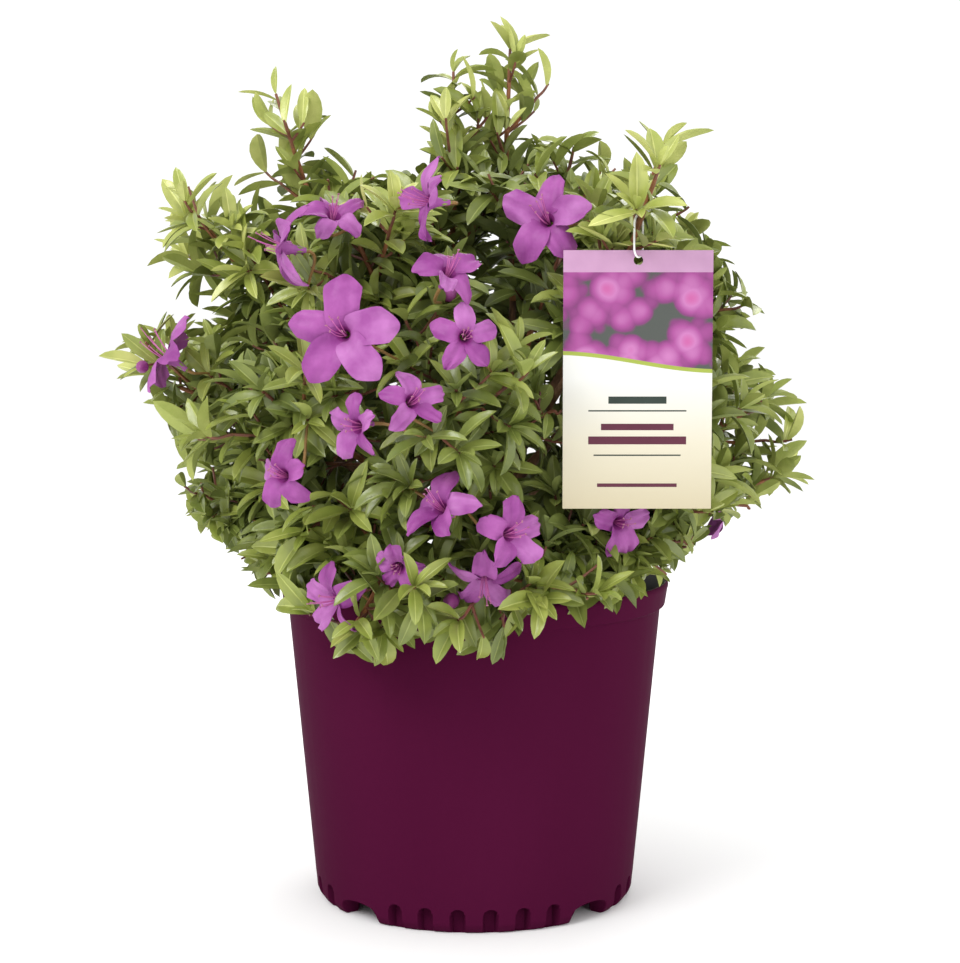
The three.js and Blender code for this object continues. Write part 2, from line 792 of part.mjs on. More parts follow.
// Whether a point of a mass keeps off every bloom, and further off those of other masses.
function isClearOfBlooms(p, mass) {
  return blooms.every((bloom) => {
    const room = bloom.owner === mass ? ownBloomRoom : otherBloomRoom;
    const back = bloom.centre.clone().addScaledVector(bloom.facing, -bloomTubeLength * tubeShare);
    const ahead = bloom.centre.clone().addScaledVector(bloom.facing, bloom.width * bloomView);
    return segmentDistance(p, back, ahead) > bloom.width * room;
  });
}

// The side shoots of a mass: they leave the stem in three ranks, leaning up to the light.
function sideShoots(mass) {
  const random = randomFrom(1000 + masses.indexOf(mass) * 17);
  const shoots = [];
  for (let k = 0; k < shootsPerMass; k++) {
    const along = firstShoot + shootStretch * ((k + 0.5) / shootsPerMass);
    const seat = backFrom(mass.stem, mass.stemLength * (1 - along));
    const turn = radians(firstTurn + (360 / ranks) * k + shootSway * (random() - 0.5));
    const opening = radians(shootOpening + shootOpeningSway * (random() - 0.5));
    const fullLength = mass.spread * (1 - shootShortening * (k / shootsPerMass))
      * (shortestShoot + shootVariation * random());
    for (const [share, sway] of shootTries) {
      const length = fullLength * share;
      const direction = outFrom(seat, turn + radians(sway), opening);
      direction.setZ(direction.z + shootLift).normalize();
      const at = (far) => seat.point.clone().addScaledVector(direction, length * far);
      if (!shootChecks.every((far) => isClear(at(far), mass))) continue;
      if (!shootBloomChecks.every((far) => isClearOfBlooms(at(far), mass))) continue;
      const radius = seat.radius * shootShare;
      const joints = jointsThrough([seat.point, at(1)], [radius, radius * shootTipShare]);
      shoots.push({ joints, length });
      break;
    }
  }
  return shoots;
}

// The leaves at the end of a shoot: one straight on, and some down its last stretch in three
// ranks. Each comes with the directions to try in turn.
function leavesOf(joints, count, random) {
  const end = backFrom(joints, leafSink);
  const tip = { root: end.point, along: end.tangent, normal: end.across, size: 1 };
  const leaves = [{ tries: [tip, { ...tip, size: smallerTip }], joints }];
  const first = Math.floor(ranks * random());
  for (let i = 0; i < count; i++) {
    const seat = backFrom(joints, firstLeafBack + i * leafStep);
    const sway = leafSway * (random() - 0.5);
    const opening = radians(leafOpening + leafOpeningSway * (random() - 0.5));
    const size = smallestLeaf + leafVariation * random();
    const tries = [];
    for (const share of [1, secondTry]) {
      for (let rank = 0; rank < ranks; rank++) {
        const turn = radians(firstTurn + (360 / ranks) * (i + first + rank) + sway * share);
        const along = outFrom(seat, turn, opening * (2 - share));
        tries.push({ root: seat.point, along, normal: squared(seat.tangent, along), size: size * share });
      }
    }
    leaves.push({ tries, joints });
  }
  return leaves;
}

// The outer points of a leaf, which stand for it where it could meet its own mass.
function outerPoints(corners) {
  const middle = corners.top.clone().lerp(corners.bottom, 0.5);
  return [middle, corners.left, corners.right, corners.tip, middle.clone().lerp(corners.tip, 0.5)];
}

// Whether a leaf keeps off the other leaves of its mass, and off every shoot but its own.
function isFreeOf(placed, limbs, corners, own) {
  const points = outerPoints(corners);
  const [middle, left, right, tip] = points;
  const offLeaves = placed.every((other) => other.every((p) =>
    segmentDistance(p, middle, tip) > leafRoom && segmentDistance(p, left, right) > leafRoom));
  const half = corners.root.clone().lerp(middle, 0.5);
  return offLeaves && limbs.every((joints) =>
    joints === own || [half, ...points].every((p) => limbDistance(p, joints) > shootRoom));
}

// A leaf joined to the rest of its mass, in the first of its directions that is free. One that
// costs many triangles crosses something, and is left out.
function withLeaf(whole, leaf, mass, placed, limbs) {
  for (const { root, along, normal, size } of leaf.tries) {
    const corners = bladeCorners(root, along, normal, leafLength * size, leafWidth * size,
      leafThickness, leafWidest, leafFold * size);
    if (!isFreeOf(placed, limbs, corners, leaf.joints)) continue;
    if (!bladeSamples(corners).every((p) => isClear(p, mass) && isClearOfBlooms(p, mass))) continue;
    const grown = grownBy(whole, blade(corners));
    if (!grown || grown.numTri() - whole.numTri() > mostPerLeaf) continue;
    placed.push(outerPoints(corners));
    return grown;
  }
  return whole;
}

// The nearest place on a mass's limbs that a bloom can grow from without turning back.
function bloomSeat(bloom, limbs) {
  const { base } = bloomCorners(bloom);
  const seats = limbs.map((joints) => nearestOn(base, joints).point)
    .filter((p) => base.clone().sub(p).normalize().dot(bloom.facing) > sharpestStalk);
  if (seats.length === 0) return null;
  return seats.reduce((best, p) => (p.distanceTo(base) < best.distanceTo(base) ? p : best));
}

// A mass joined with a bloom, or as it was where the bloom has no place to grow from.
function withBloom(whole, bloom, limbs) {
  const seat = bloomSeat(bloom, limbs);
  if (seat === null) return whole;
  for (const share of slimmings) {
    const grown = grownBy(whole, bloomSolid({ ...bloom, width: bloom.width * share }, seat));
    if (grown) return grown;
  }
  return whole;
}

// A bloom and its stalk as one funnel with a star-shaped rim.
function bloomSolid(bloom, seat) {
  const { rim, throat, base } = bloomCorners(bloom);
  const rise = base.clone().sub(seat).normalize();
  const joints = jointsThrough([seat, base], [stalkRadius, stalkRadius * stalkSpread]);
  joints[1].tangent = rise.clone().add(bloom.facing).normalize();
  joints[1].across = squared(joints[1].across, joints[1].tangent);
  const [foot, tube] = joints.map((joint) => ringAt(joint, 3));
  const triangles = [foot[0], foot[2], foot[1]];
  for (let k = 0; k < 3; k++) {
    const next = (k + 1) % 3;
    triangles.push(foot[k], foot[next], tube[next], foot[k], tube[next], tube[k]);
  }
  const lined = lineUp(rim, tube[0], bloom);
  const cornerOf = (i) => Math.min(2, Math.floor(i / 3));
  for (let i = 0; i < 10; i++) {
    const next = lined[(i + 1) % 10];
    const corner = cornerOf(i);
    const before = cornerOf((i + 9) % 10);
    triangles.push(lined[i], next, throat);
    triangles.push(next, lined[i], tube[corner]);
    if (corner !== before) triangles.push(lined[i], tube[before], tube[corner]);
  }
  return solidOf(new THREE.BufferGeometry().setFromPoints(triangles));
}

// The rim with its corners counted from two before the one that is nearest to a tube corner.
function lineUp(rim, corner, bloom) {
  const out = squared(corner.clone().sub(bloom.centre), bloom.facing);
  const closeness = rim.map((p) => squared(p.clone().sub(bloom.centre), bloom.facing).dot(out));
  const first = closeness.indexOf(Math.max(...closeness)) + 9;
  return rim.map((_, i) => rim[(first + i) % 10]);
}

function makeMass(mass, material) {
  const random = randomFrom(5000 + masses.indexOf(mass) * 31);
  const shoots = sideShoots(mass);
  const limbs = [mass.stem, ...shoots.map((shoot) => shoot.joints)];
  let whole = limb(startedLater(mass.stem, seatGap), twigSides);
  for (const shoot of shoots) whole = withLimb(whole, shoot.joints, twigSides);
  const own = blooms.filter((bloom) => bloom.owner === mass);
  for (const bloom of own) whole = withBloom(whole, bloom, limbs);
  const leaves = leavesOf(mass.stem, leadLeaves, random);
  for (const shoot of shoots) {
    const count = shoot.length > longShoot ? longShootLeaves : shortShootLeaves;
    leaves.push(...leavesOf(shoot.joints, count, random));
  }
  const placed = [];
  for (const leaf of leaves) whole = withLeaf(whole, leaf, mass, placed, limbs);
  addNode('foliage_' + mass.name, geometryOf(whole), material);
}

function makeTrunk(material) {
  const geometry = new THREE.CylinderGeometry(1, 1, 1, trunkSides, trunkSteps);
  const position = geometry.attributes.position;
  for (let i = 0; i < position.count; i++) {
    const share = position.getY(i) + 0.5;
    const rise = share * share * trunkHeight;
    const centre = trunkCentre(trunkFoot + rise);
    const turn = Math.atan2(position.getX(i), position.getZ(i));
    const spread = Math.hypot(position.getX(i), position.getZ(i));
    const lobes = 1 + lobeDepth * Math.cos(flareLobes * turn);
    const flare = rootFlare * Math.exp(-rise / flareFall) * lobes;
    const radius = trunkRadius + (trunkTipRadius - trunkRadius) * (rise / trunkHeight) + flare;
    position.setXYZ(i, centre.x + spread * radius * Math.sin(turn),
      centre.y - spread * radius * Math.cos(turn), centre.z);
  }
  let trunk = solidOf(geometry);
  for (const mass of masses) trunk = withLimb(trunk, mass.joints.slice(0, boughJoint + 1), stubSides);
  addNode('trunk', geometryOf(trunk), material);
}

function makeBough(mass, material) {
  const joints = startedLater(mass.joints.slice(boughJoint, stemJoint + 1), seatGap);
  addNode('bough_' + mass.name, geometryOf(limb(joints, boughSides)), material);
}

function makeTag(material) {
  const outline = new THREE.Shape();
  const half = tagWidth / 2;
  outline.moveTo(-half, -tagHeight / 2);
  outline.lineTo(half, -tagHeight / 2);
  outline.lineTo(half, tagHeight / 2);
  outline.lineTo(-half, tagHeight / 2);
  outline.closePath();
  const hole = new THREE.Path();
  hole.absarc(0, tagHeight / 2 - tagHoleDrop, tagHoleRadius, 0, 2 * Math.PI, true);
  outline.holes.push(hole);
  const settings = { depth: tagThickness, bevelEnabled: false, curveSegments: 4 };
  const geometry = new THREE.ExtrudeGeometry(outline, settings);
  geometry.translate(0, 0, -tagThickness / 2);
  geometry.rotateX(Math.PI / 2);
  geometry.translate(tagCentre.x, tagCentre.y, tagCentre.z);
  addNode('hang_tag', geometry, material);
}

// A ring stretched upwards, through the tag's hole and over the shoot.
function makeLoop(material) {
  const radius = loopWidth / 2 - loopRadius;
  const geometry = new THREE.TorusGeometry(radius, loopRadius, loopSides, loopSteps);
  const position = geometry.attributes.position;
  for (let i = 0; i < position.count; i++) {
    const stretch = position.getY(i) > 1e-4 ? loopHeight - loopWidth : 0;
    position.setY(i, position.getY(i) + stretch);
  }
  geometry.rotateX(Math.PI / 2);
  geometry.rotateZ(radians(loopTurn));
  geometry.translate(loopFoot.x, loopFoot.y, loopFoot.z + loopWidth / 2);
  addNode('tag_loop', geometry, material);
}

const plum = new THREE.MeshStandardMaterial({ color: 0x5a1c3b, roughness: 0.42, metalness: 0 });
const bark = new THREE.MeshStandardMaterial({ color: 0x7a5238, roughness: 0.85, metalness: 0 });
const soil = new THREE.MeshStandardMaterial({ color: 0x3a2b20, roughness: 0.95, metalness: 0 });
const leafGreen = new THREE.MeshStandardMaterial({ color: 0x6f8438, roughness: 0.55, metalness: 0 });
const card = new THREE.MeshStandardMaterial({ color: 0xf1ecdd, roughness: 0.5, metalness: 0 });
const nylon = new THREE.MeshStandardMaterial({ color: 0xf4f4f2, roughness: 0.4, metalness: 0 });

makePot(plum);
makeMix(soil);
makeTrunk(bark);
for (const mass of masses) {
  makeBough(mass, bark);
}
for (const mass of masses) {
  makeMass(mass, leafGreen);
}
makeTag(card);
makeLoop(nylon);

export default group;
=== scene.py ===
import math

import bpy
import numpy as np
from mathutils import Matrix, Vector, noise


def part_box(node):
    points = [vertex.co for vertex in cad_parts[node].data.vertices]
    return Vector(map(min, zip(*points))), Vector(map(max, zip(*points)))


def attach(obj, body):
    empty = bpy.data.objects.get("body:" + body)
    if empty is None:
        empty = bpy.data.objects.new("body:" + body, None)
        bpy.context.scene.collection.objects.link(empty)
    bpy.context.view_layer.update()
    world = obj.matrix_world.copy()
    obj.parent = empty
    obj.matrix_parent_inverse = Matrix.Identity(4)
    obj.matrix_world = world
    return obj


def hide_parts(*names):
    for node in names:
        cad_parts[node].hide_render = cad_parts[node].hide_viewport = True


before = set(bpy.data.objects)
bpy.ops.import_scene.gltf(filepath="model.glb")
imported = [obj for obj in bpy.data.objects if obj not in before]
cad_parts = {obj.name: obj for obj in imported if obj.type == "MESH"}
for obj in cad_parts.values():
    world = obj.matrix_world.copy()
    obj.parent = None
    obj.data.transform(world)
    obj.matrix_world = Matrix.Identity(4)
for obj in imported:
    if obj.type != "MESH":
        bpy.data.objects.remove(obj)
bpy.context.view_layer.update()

# A young azalea shrub in bloom, in its nursery pot, with a hang tag on one shoot.
# Lengths are in millimetres in the frame's axes until a piece is made, which is in metres.
# Azimuths are in degrees seen from above: 0 is the front, 90 the right, 180 the back.
metre = 0.001
up = np.array([0.0, 0.0, 1.0])

# The pot.
pot_height = 200
lip_radius = 122
collar_radius = 120
collar_height = 16
shoulder_radius = 117
heel_radius = 100.4
heel_height = 7
foot_radius = 96.5
foot_inner_radius = 88
wall_thickness = 2.6
plate_bottom = 16
plate_thickness = 2.5
niche_step = 11.25
niche_width = 7.6
niche_height = 14.5
niche_depth = 2.6
notch_width = 30
notch_height = 11
notch_spring = 6
foot_rows = 26
mix_top = 182
mix_sides = 72
chip_count = 700
# Sections of the collar and the lip, as steps outward and up.
collar_section = [(-0.9, 0.9), (-0.2, 1.3), (0.1, 2.2)]
lip_section = [(-0.5, -4.6), (-0.1, -3.4), (0, -2.2), (-0.3, -0.8), (-1.1, 0)]
inner_lip_section = [(-2.6, 0), (-3.4, -0.5), (-3.8, -1.5)]

# The trunk and the limbs.
trunk_foot = 182.3
trunk_height = 82
trunk_radius = 9
trunk_tip_radius = 6
root_flare = 7
flare_fall = 9
flare_lobes = 5
trunk_sides = 40
lowest_fork = 15
fork_room = 21
fork_bend = 0.55
launch_share = 0.38
landing_share = 0.28
trunk_lean = np.array([5.0, -4.0, 0.0])
joint_shares = [0, 0.1, 0.22, 0.33, 0.45, 0.63, 0.82, 1]
joint_radii = [4.6, 4, 3.5, 3, 2.5, 2.2, 1.9, 1.6]
bough_radii = [4.4, 3.7, 3.1, 2.6, 2.1]
# Bark relief as depth, and how close the ridges stand round and along.
bark_scales = [(0.16, 1.6, 0.045), (0.1, 4, 0.16)]
stem_joint = 4
steepest_fork = 62

# The rule by which the solids' shoots grow, and the room that they keep.
solid_leaf_length = 48
shoots_per_mass = 5
ranks = 3
first_shoot = 0.1
shoot_stretch = 0.78
first_shoot_turn = 60
shoot_opening = 50
shoot_tests = (0.25, 0.4, 0.55, 0.7, 0.85, 1)
shoot_lift = 0.25
shoot_tries = [(1, 0), (1, 28), (1, -28), (0.75, 0), (0.75, 28), (0.75, -28), (0.5, 0)]
cell_gap = 0.5
bough_room = 6
pot_room = 4.5
tag_room = 4
loop_room = 8

# The tag and its loop.
loop_height = 24
loop_width = 12
loop_radius = 0.6
loop_turn = 60
loop_back = 20
loop_sides = 10
loop_steps = 64
# The tag's print, from its top edge down: the band's foot, and the rule's middle, wave and width.
tag_head = 12
rule_drop = 60
rule_wave = 5
rule_width = 2.2
tag_hole_radius = 2.6
tag_hole_drop = 5.5
seat_gap = 0.3

# The finer twigs and the leaves at their life size.
golden_angle = 137.5
lead_growth = 17
spire_growth = 30
twig_spacing = 17
twig_slack = 12
twig_bough_room = 5
leaf_slack = 22
leaf_bough_room = 2.5
twig_length = 34
usual_spread = 62
twig_opening = 48
stem_radii = (2.1, 0.9)
shoot_radii = (1.25, 0.8)
twig_radii = (0.95, 0.7)
past_last_leaf = 3
least_cut = 2
least_twig = 4
leaf_length = 29
leaf_width = 0.31
leaf_spacing = 6.5
leaf_thickness = 0.45
tip_opening = 16
rosette_spread = 48
leaf_opening = 56
first_side_leaf = 11
old_from = 40
least_bare = 0.06
outer_bare = 0.48
low_right_bare = 0.1
most_triangles = 190000

# How young a spray looks: how far out it is from the crown's heart, with some for being high, partly for
# youth and partly as painted light, and some for being far to a side as painted light; and the least of it
# for each tint but the oldest.
crown_heart = np.array([0.0, 0.0, 290.0])
crown_reach = np.array([205.0, 205.0, 230.0])
tint_play = 0.42
# Painted light: sprays high up and far to a side take lighter tints for the light that falls there.
top_youth_and_light = 0.3
side_painted_light = 0.16
least_youth_and_light = (1.18, 0.9, 0.64)
youngest, oldest = 0, 3
# The tints from the youngest: piece, finish, darker and lighter colour.
leaf_tints = [
    ("young", "lime", (150, 160, 76), (184, 188, 108)),
    ("fresh", "fresh", (122, 134, 56), (150, 158, 78)),
    ("green", "green", (100, 112, 50), (128, 138, 66)),
    ("deep", "deep", (88, 99, 46), (114, 124, 61)),
]

# The blooms.
crown_radius = 212
crown_waist = 320
crown_rise = 240
crown_fall = 185
bloom_tube_length = 15
sharpest_stalk = -0.2
# A petal's tip and the notch between petals in the solid, as shares of the width out and up.
solid_petal = (0.54, 0.1)
solid_notch = (0.3, 0.04)
stalk_radii = (0.7, 1.1)
sepal_opening = 24
throat_rows = 5
petal_thickness = 0.35
highest_bud = 430
bud_openness = 0.72
first_bud = 5
bud_step = 34
blooms_apart = 0.5
bloom_tries = 10
own_bloom_room = 0.42
other_bloom_room = 0.64
back_bloom_count = 8
back_bloom_width = 44
first_back_bloom = 112
lowest_back_bloom = 225
back_bloom_rise = 190
back_bloom_sway = 10
back_bloom_turn = 50
golden_share = 0.618
bloom_depth = 0.97
back_bloom_depth = 0.92

# Every mass: its name, its furthest leaf tip as azimuth, reach and height, the pitch at which
# its stem ends, and the length of its side shoots.
mass_rows = [
    ("top", 122, 32, 552, 82, 40),
    ("top_left", -52, 20, 532, 85, 34),
    ("left_spire", -94, 128, 520, 74, 38),
    ("upper_left", -86, 194, 456, 52, 56),
    ("left", -83, 229, 338, 20, 62),
    ("left_low", -90, 200, 240, 2, 54),
    ("right_low", 88, 220, 271, 14, 50),
    ("right", 95, 212, 330, 34, 56),
    ("upper_right", 99, 168, 424, 52, 50),
    ("right_spire", 84, 122, 488, 72, 42),
    ("tag_shoot", 29.5, 218, 475, 60, 44),
    ("upper_front", -32, 150, 440, 52, 62),
    ("crown_front", 46, 90, 482, 70, 60),
    ("front_left", -42, 206, 338, 28, 64),
    ("front", -3, 207, 340, 26, 64),
    ("front_right", 50, 200, 318, 24, 62),
    ("upper_back_left", -152, 146, 458, 58, 66),
    ("upper_back_right", 146, 148, 450, 56, 66),
    ("back_left", -136, 214, 345, 30, 66),
    ("back", 178, 208, 336, 26, 62),
    ("back_right", 136, 214, 338, 30, 66),
    ("low_back_left", -146, 196, 238, 0, 64),
    ("low_back_right", 142, 194, 236, 0, 64),
    ("rim_left", -51, 166, 214, -20, 54),
    ("rim_front_left", -24, 182, 170, -44, 60),
    ("rim_front", 8, 182, 182, -38, 58),
    ("rim_right", 40, 172, 214, -20, 58),
]

# The crown's outline as it looks from the front at eye height: heights, with how far it reaches
# to the left and right. Above the shoulders only the spires go on, each close to its stem.
crown_outline = [
    (150, 118, 118),
    (200, 142, 127),
    (230, 169, 149),
    (245, 190, 174),
    (262, 196, 224),
    (275, 196, 224),
    (300, 192, 208),
    (340, 236, 208),
    (400, 215, 176),
    (428, 200, 162),
    (446, 194, 124),
    (460, 196, 118),
]
# The crown's lower edge over the pot: how far to the right, and the height.
crown_foot = [
    (-140, 193),
    (-105, 176),
    (-86, 148),
    (-64, 134),
    (10, 140),
    (30, 158),
    (100, 185),
    (132, 202),
]
eye_distance = 1300
eye_height = 383
shoulders = 458
spire_width = 27
upright_pitch = 45
steep_pitch = 65
# The crown's open places on the right: where they begin to the right, and the height.
low_opening = (105, 340)
high_opening = (60, 435)
open_share = 0.45
inner_spacing = 24
inner_openness = 0.82

# The studio in metres, with each light's place, size and power, and the camera.
floor_size = 30
sky_strength = 1.08
light_target = (0, 0, 0.3)
studio_lights = [
    ("key", (-1.3, -1.5, 1.9), 1.2, 36),
    ("fill", (1.5, -1.9, 0.7), 2.0, 14),
    ("back", (0.4, 1.4, 1.8), 1.2, 12),
]
focal_pixels = 2075
picture_width = 960
tilt_down = 5.37
camera_right = 3.5

# The blooms on the front: offset to the right, height, width, azimuth and pitch, and the depth
# as a share of the crown's radius where it isn't the usual one.
front_blooms = [
    (-180, 347, 50, -95, 35),
    (-106, 404, 46, -70, 5),
    (-84, 436, 34, 20, 45),
    (-26, 428, 44, -60, 0),
    (40, 420, 50, -15, 15, 0.8),
    (-12, 396, 36, 30, 40),
    (-3, 362, 36, 10, 0),
    (-70, 358, 58, -12, 5),
    (-64, 308, 34, -40, -5),
    (-31, 323, 34, 30, 15),
    (-106, 280, 36, -30, 5),
    (-19, 266, 42, -35, 25),
    (21, 250, 38, 38, 5),
    (0, 224, 42, 2, -58),
    (-42, 228, 27, -12, -20),
    (-80, 206, 42, -60, -15),
    (84, 264, 36, 30, -10),
]


def random_from(seed):
    """Deterministic random numbers from 0 to 1."""
    state = seed & 0xFFFFFFFF

    def draw():
        nonlocal state
        state = (state + 0x6D2B79F5) & 0xFFFFFFFF
        t = ((state ^ (state >> 15)) * (state | 1)) & 0xFFFFFFFF
        t ^= (t + (t ^ (t >> 7)) * (t | 61)) & 0xFFFFFFFF
        return (t ^ (t >> 14)) / 4294967296

    return draw


def full_turn(count):
    """Angles in radians all the way round, at even steps."""
    return np.arange(count) / count * 2 * math.pi


def ring_round(turns, radius, height):
    """Points round the pot's axis, counted from the front."""
    return np.stack(np.broadcast_arrays(radius * np.sin(turns), -radius * np.cos(turns), height), 1)


def polar(azimuth, reach, height):
    """A point round the pot's axis."""
    a = math.radians(azimuth)
    return np.array([reach * math.sin(a), -reach * math.cos(a), height])


def heading(azimuth, pitch):
    """A unit vector at an azimuth and a pitch above level."""
    p = math.radians(pitch)
    return polar(azimuth, math.cos(p), math.sin(p))


def unit(v):
    return v / math.sqrt(v @ v)


def cross(a, b):
    return np.array([a[1] * b[2] - a[2] * b[1], a[2] * b[0] - a[0] * b[2], a[0] * b[1] - a[1] * b[0]])


def sideways(direction):
    """A unit vector square to a direction."""
    reference = np.array([0.0, 1.0, 0.0]) if abs(direction[2]) > 0.9 else up
    return unit(cross(direction, reference))


def squared(vector, direction):
    """A vector made square to a direction, at unit length."""
    return unit(vector - direction * (vector @ direction))


def share_between(value, low, high):
    """How far a value is from a low one to a high one, from 0 to 1."""
    return np.clip((value - low) / (high - low), 0, 1)


def soft_step(value, low, high):
    """The same share, with a soft start and end."""
    t = share_between(value, low, high)
    return t * t * (3 - 2 * t)


class Joint:
    """A place on a limb: the way the limb runs there, a direction across it, and its radius."""

    def __init__(self, point, tangent, across=None, radius=0):
        self.point = point
        self.tangent = tangent
        self.across = sideways(tangent) if across is None else across
        self.radius = radius


def joints_through(points, radii):
    """The joints of a limb through a row of points."""
    joints = []
    across = None
    for i, point in enumerate(points):
        tangent = unit(points[min(len(points) - 1, i + 1)] - points[max(0, i - 1)])
        across = sideways(tangent) if across is None else squared(across, tangent)
        joints.append(Joint(point, tangent, across, radii[i]))
    return joints


def gap_between(a, b):
    return math.sqrt((a - b) @ (a - b))


def length_of(joints):
    return sum(gap_between(a.point, b.point) for a, b in zip(joints, joints[1:]))


def back_from(joints, distance):
    """The place on a limb at a distance back from its tip."""
    left = distance
    i = len(joints) - 1
    length = gap_between(joints[i].point, joints[i - 1].point)
    while left > length and i > 1:
        left -= length
        i -= 1
        length = gap_between(joints[i].point, joints[i - 1].point)
    start, end = joints[i - 1], joints[i]
    share = max(0, 1 - left / length)
    tangent = unit(end.point - start.point)
    point = start.point + (end.point - start.point) * share
    radius = start.radius + (end.radius - start.radius) * share
    return Joint(point, tangent, squared(end.across, tangent), radius)


def out_from(joint, turn, opening):
    """A direction that leaves a joint sideways at a turn round it, opened from the limb's own."""
    over = cross(joint.tangent, joint.across)
    side = joint.across * math.cos(turn) + over * math.sin(turn)
    return unit(joint.tangent * math.cos(opening) + side * math.sin(opening))


def trunk_centre(height):
    share = (height - trunk_foot) / trunk_height
    centre = trunk_lean * share * share
    return np.array([centre[0], centre[1], height])


def bezier(control, t):
    s = 1 - t
    a, b, c, d = control
    return a * s**3 + b * (3 * s * s * t) + c * (3 * s * t * t) + d * t**3


class Mass:
    """A mass of foliage: its limb out of the trunk, and the stem that its shoots grow from."""

    def __init__(self, index, row):
        self.index = index
        self.name, self.azimuth, self.reach, self.height, self.pitch, self.spread = row
        self.tip = polar(self.azimuth, self.reach, self.height)
        self.joints = self.limb_joints()
        self.stem = self.joints[stem_joint:]
        self.stem_length = length_of(self.stem)
        points = np.array([joint.point for joint in self.stem] + [self.tip])
        self.spine = points[:-1], points[1:]

    def limb_joints(self):
        """The joints of the limb: higher masses leave the trunk higher up."""
        heights = [row[3] for row in mass_rows]
        share = (self.height - min(heights)) / (max(heights) - min(heights))
        start = trunk_centre(trunk_foot + lowest_fork + share * (trunk_height - fork_room))
        tip_heading = heading(self.azimuth, self.pitch)
        end = self.tip - tip_heading * solid_leaf_length
        chord = end - start
        length = math.sqrt(chord @ chord)
        chord_pitch = math.degrees(math.atan2(chord[2], math.hypot(chord[0], chord[1])))
        launch_pitch = min(steepest_fork, chord_pitch + fork_bend * (chord_pitch - self.pitch))
        launch = start + heading(self.azimuth, launch_pitch) * length * launch_share
        control = [start, launch, end - tip_heading * length * landing_share, end]
        return joints_through([bezier(control, t) for t in joint_shares], joint_radii)


masses = [Mass(index, row) for index, row in enumerate(mass_rows)]
foliage_nodes = ["foliage_" + mass.name for mass in masses]


def segments_of(limbs):
    """The starts and ends of all the straight stretches of some limbs."""
    starts = np.array([a.point for joints in limbs for a in joints[:-1]])
    ends = np.array([b.point for joints in limbs for b in joints[1:]])
    return starts, ends


def distances(points, segments):
    """How far each of some points is from each of some segments."""
    starts, ends = segments
    along = ends - starts
    off = points[:, None] - starts
    t = np.clip((off * along).sum(-1) / (along * along).sum(-1), 0, 1)
    gap = off - t[..., None] * along
    return np.sqrt((gap * gap).sum(-1))


stem_segments = segments_of([mass.stem for mass in masses])
bough_segments = segments_of([mass.joints[:stem_joint + 1] for mass in masses])


def stem_distances(points):
    """How far each point is from the stem of each mass."""
    gaps = distances(points, stem_segments)
    return gaps.reshape(len(points), len(masses), -1).min(-1)


def in_space_of(mass, points, slack):
    """Which points are nearer to a mass's stem than to any other, give or take the slack."""
    gaps = stem_distances(points)
    others = np.delete(gaps, mass.index, axis=1).min(1)
    return gaps[:, mass.index] - slack < others


tag_mass = next(mass for mass in masses if mass.name == "tag_shoot")
loop_seat = back_from(tag_mass.stem, loop_back)
loop_slope = math.asin(loop_seat.tangent[2])
loop_climb = loop_seat.radius / math.cos(loop_slope) + loop_radius * math.tan(loop_slope)
loop_foot = loop_seat.point[2] + loop_climb + seat_gap + 2 * loop_radius - loop_height
loop_line = np.array([[*loop_seat.point[:2], loop_foot]]), loop_seat.point[None]
tag_low, tag_high = [np.array(corner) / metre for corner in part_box("hang_tag")]


def pot_radius_at(height):
    """The outer radius of the pot's wall at a height."""
    share = (height - heel_height) / (pot_height - collar_height - heel_height)
    wall = heel_radius + (shoulder_radius - heel_radius) * np.clip(share, 0, 1)
    return np.where(height > pot_height - collar_height, lip_radius, wall)


def off_fixtures(points, spare):
    """Which points are clear of the pot, the mix, the tag and its loop, with some room to spare."""
    x, y, z = points.T
    room = pot_room * spare
    in_pot = (z < pot_height + room) & (np.hypot(x, y) < pot_radius_at(z) + room)
    room = tag_room * spare
    beside = (x > tag_low[0] - room) & (x < tag_high[0] + room)
    level = (z > tag_low[2] - room) & (z < tag_high[2] + room)
    at_tag = beside & level & (y < (tag_low[1] + tag_high[1]) / 2 + room)
    at_loop = distances(points, loop_line)[:, 0] < loop_room * spare
    return ~(in_pot | at_tag | at_loop)


def off_boughs(points, room):
    return distances(points, bough_segments).min(1) > room


def in_outline(mass, points):
    """Which points of a mass are inside the crown's outline."""
    nearness = eye_distance / (eye_distance + points[:, 1])
    x = points[:, 0] * nearness
    height = eye_height + (points[:, 2] - eye_height) * nearness
    heights, left, right = np.array(crown_outline).T
    reach = np.where(x < 0, np.interp(height, heights, left), np.interp(height, heights, right))
    inside = (np.abs(x) < reach) | (height < heights[0]) | (height >= heights[-1])
    places, lowest = np.array(crown_foot).T
    over_pot = (points[:, 1] < 0) & (x >= places[0]) & (x < places[-1])
    inside &= ~over_pot | (height >= np.interp(x, places, lowest))
    in_spire = (mass.pitch > upright_pitch) & (points[:, 2] < mass.tip[2])
    in_spire = in_spire & (distances(points, mass.spine).min(1) < spire_width)
    return np.where(height > shoulders, in_spire, inside)


def is_clear(points, mass):
    """Whether all of some points keep to a mass's space and off the boughs, pot and tag."""
    points = np.array(points)
    clear = off_fixtures(points, 1) & in_space_of(mass, points, -2 * cell_gap)
    return bool((clear & in_outline(mass, points) & off_boughs(points, bough_room)).all())


def crown_radius_at(height):
    """The crown's radius at a height, as the blooms take it."""
    rise = crown_rise if height > crown_waist else crown_fall
    share = min(1, abs(height - crown_waist) / rise)
    return crown_radius * math.sqrt(1 - share * share)


def nearest_on(point, joints):
    """The place on a limb nearest to a point."""
    steps = 24
    length = length_of(joints)
    places = [back_from(joints, (i / steps) * length) for i in range(steps + 1)]
    return min(places, key=lambda place: gap_between(point, place.point))


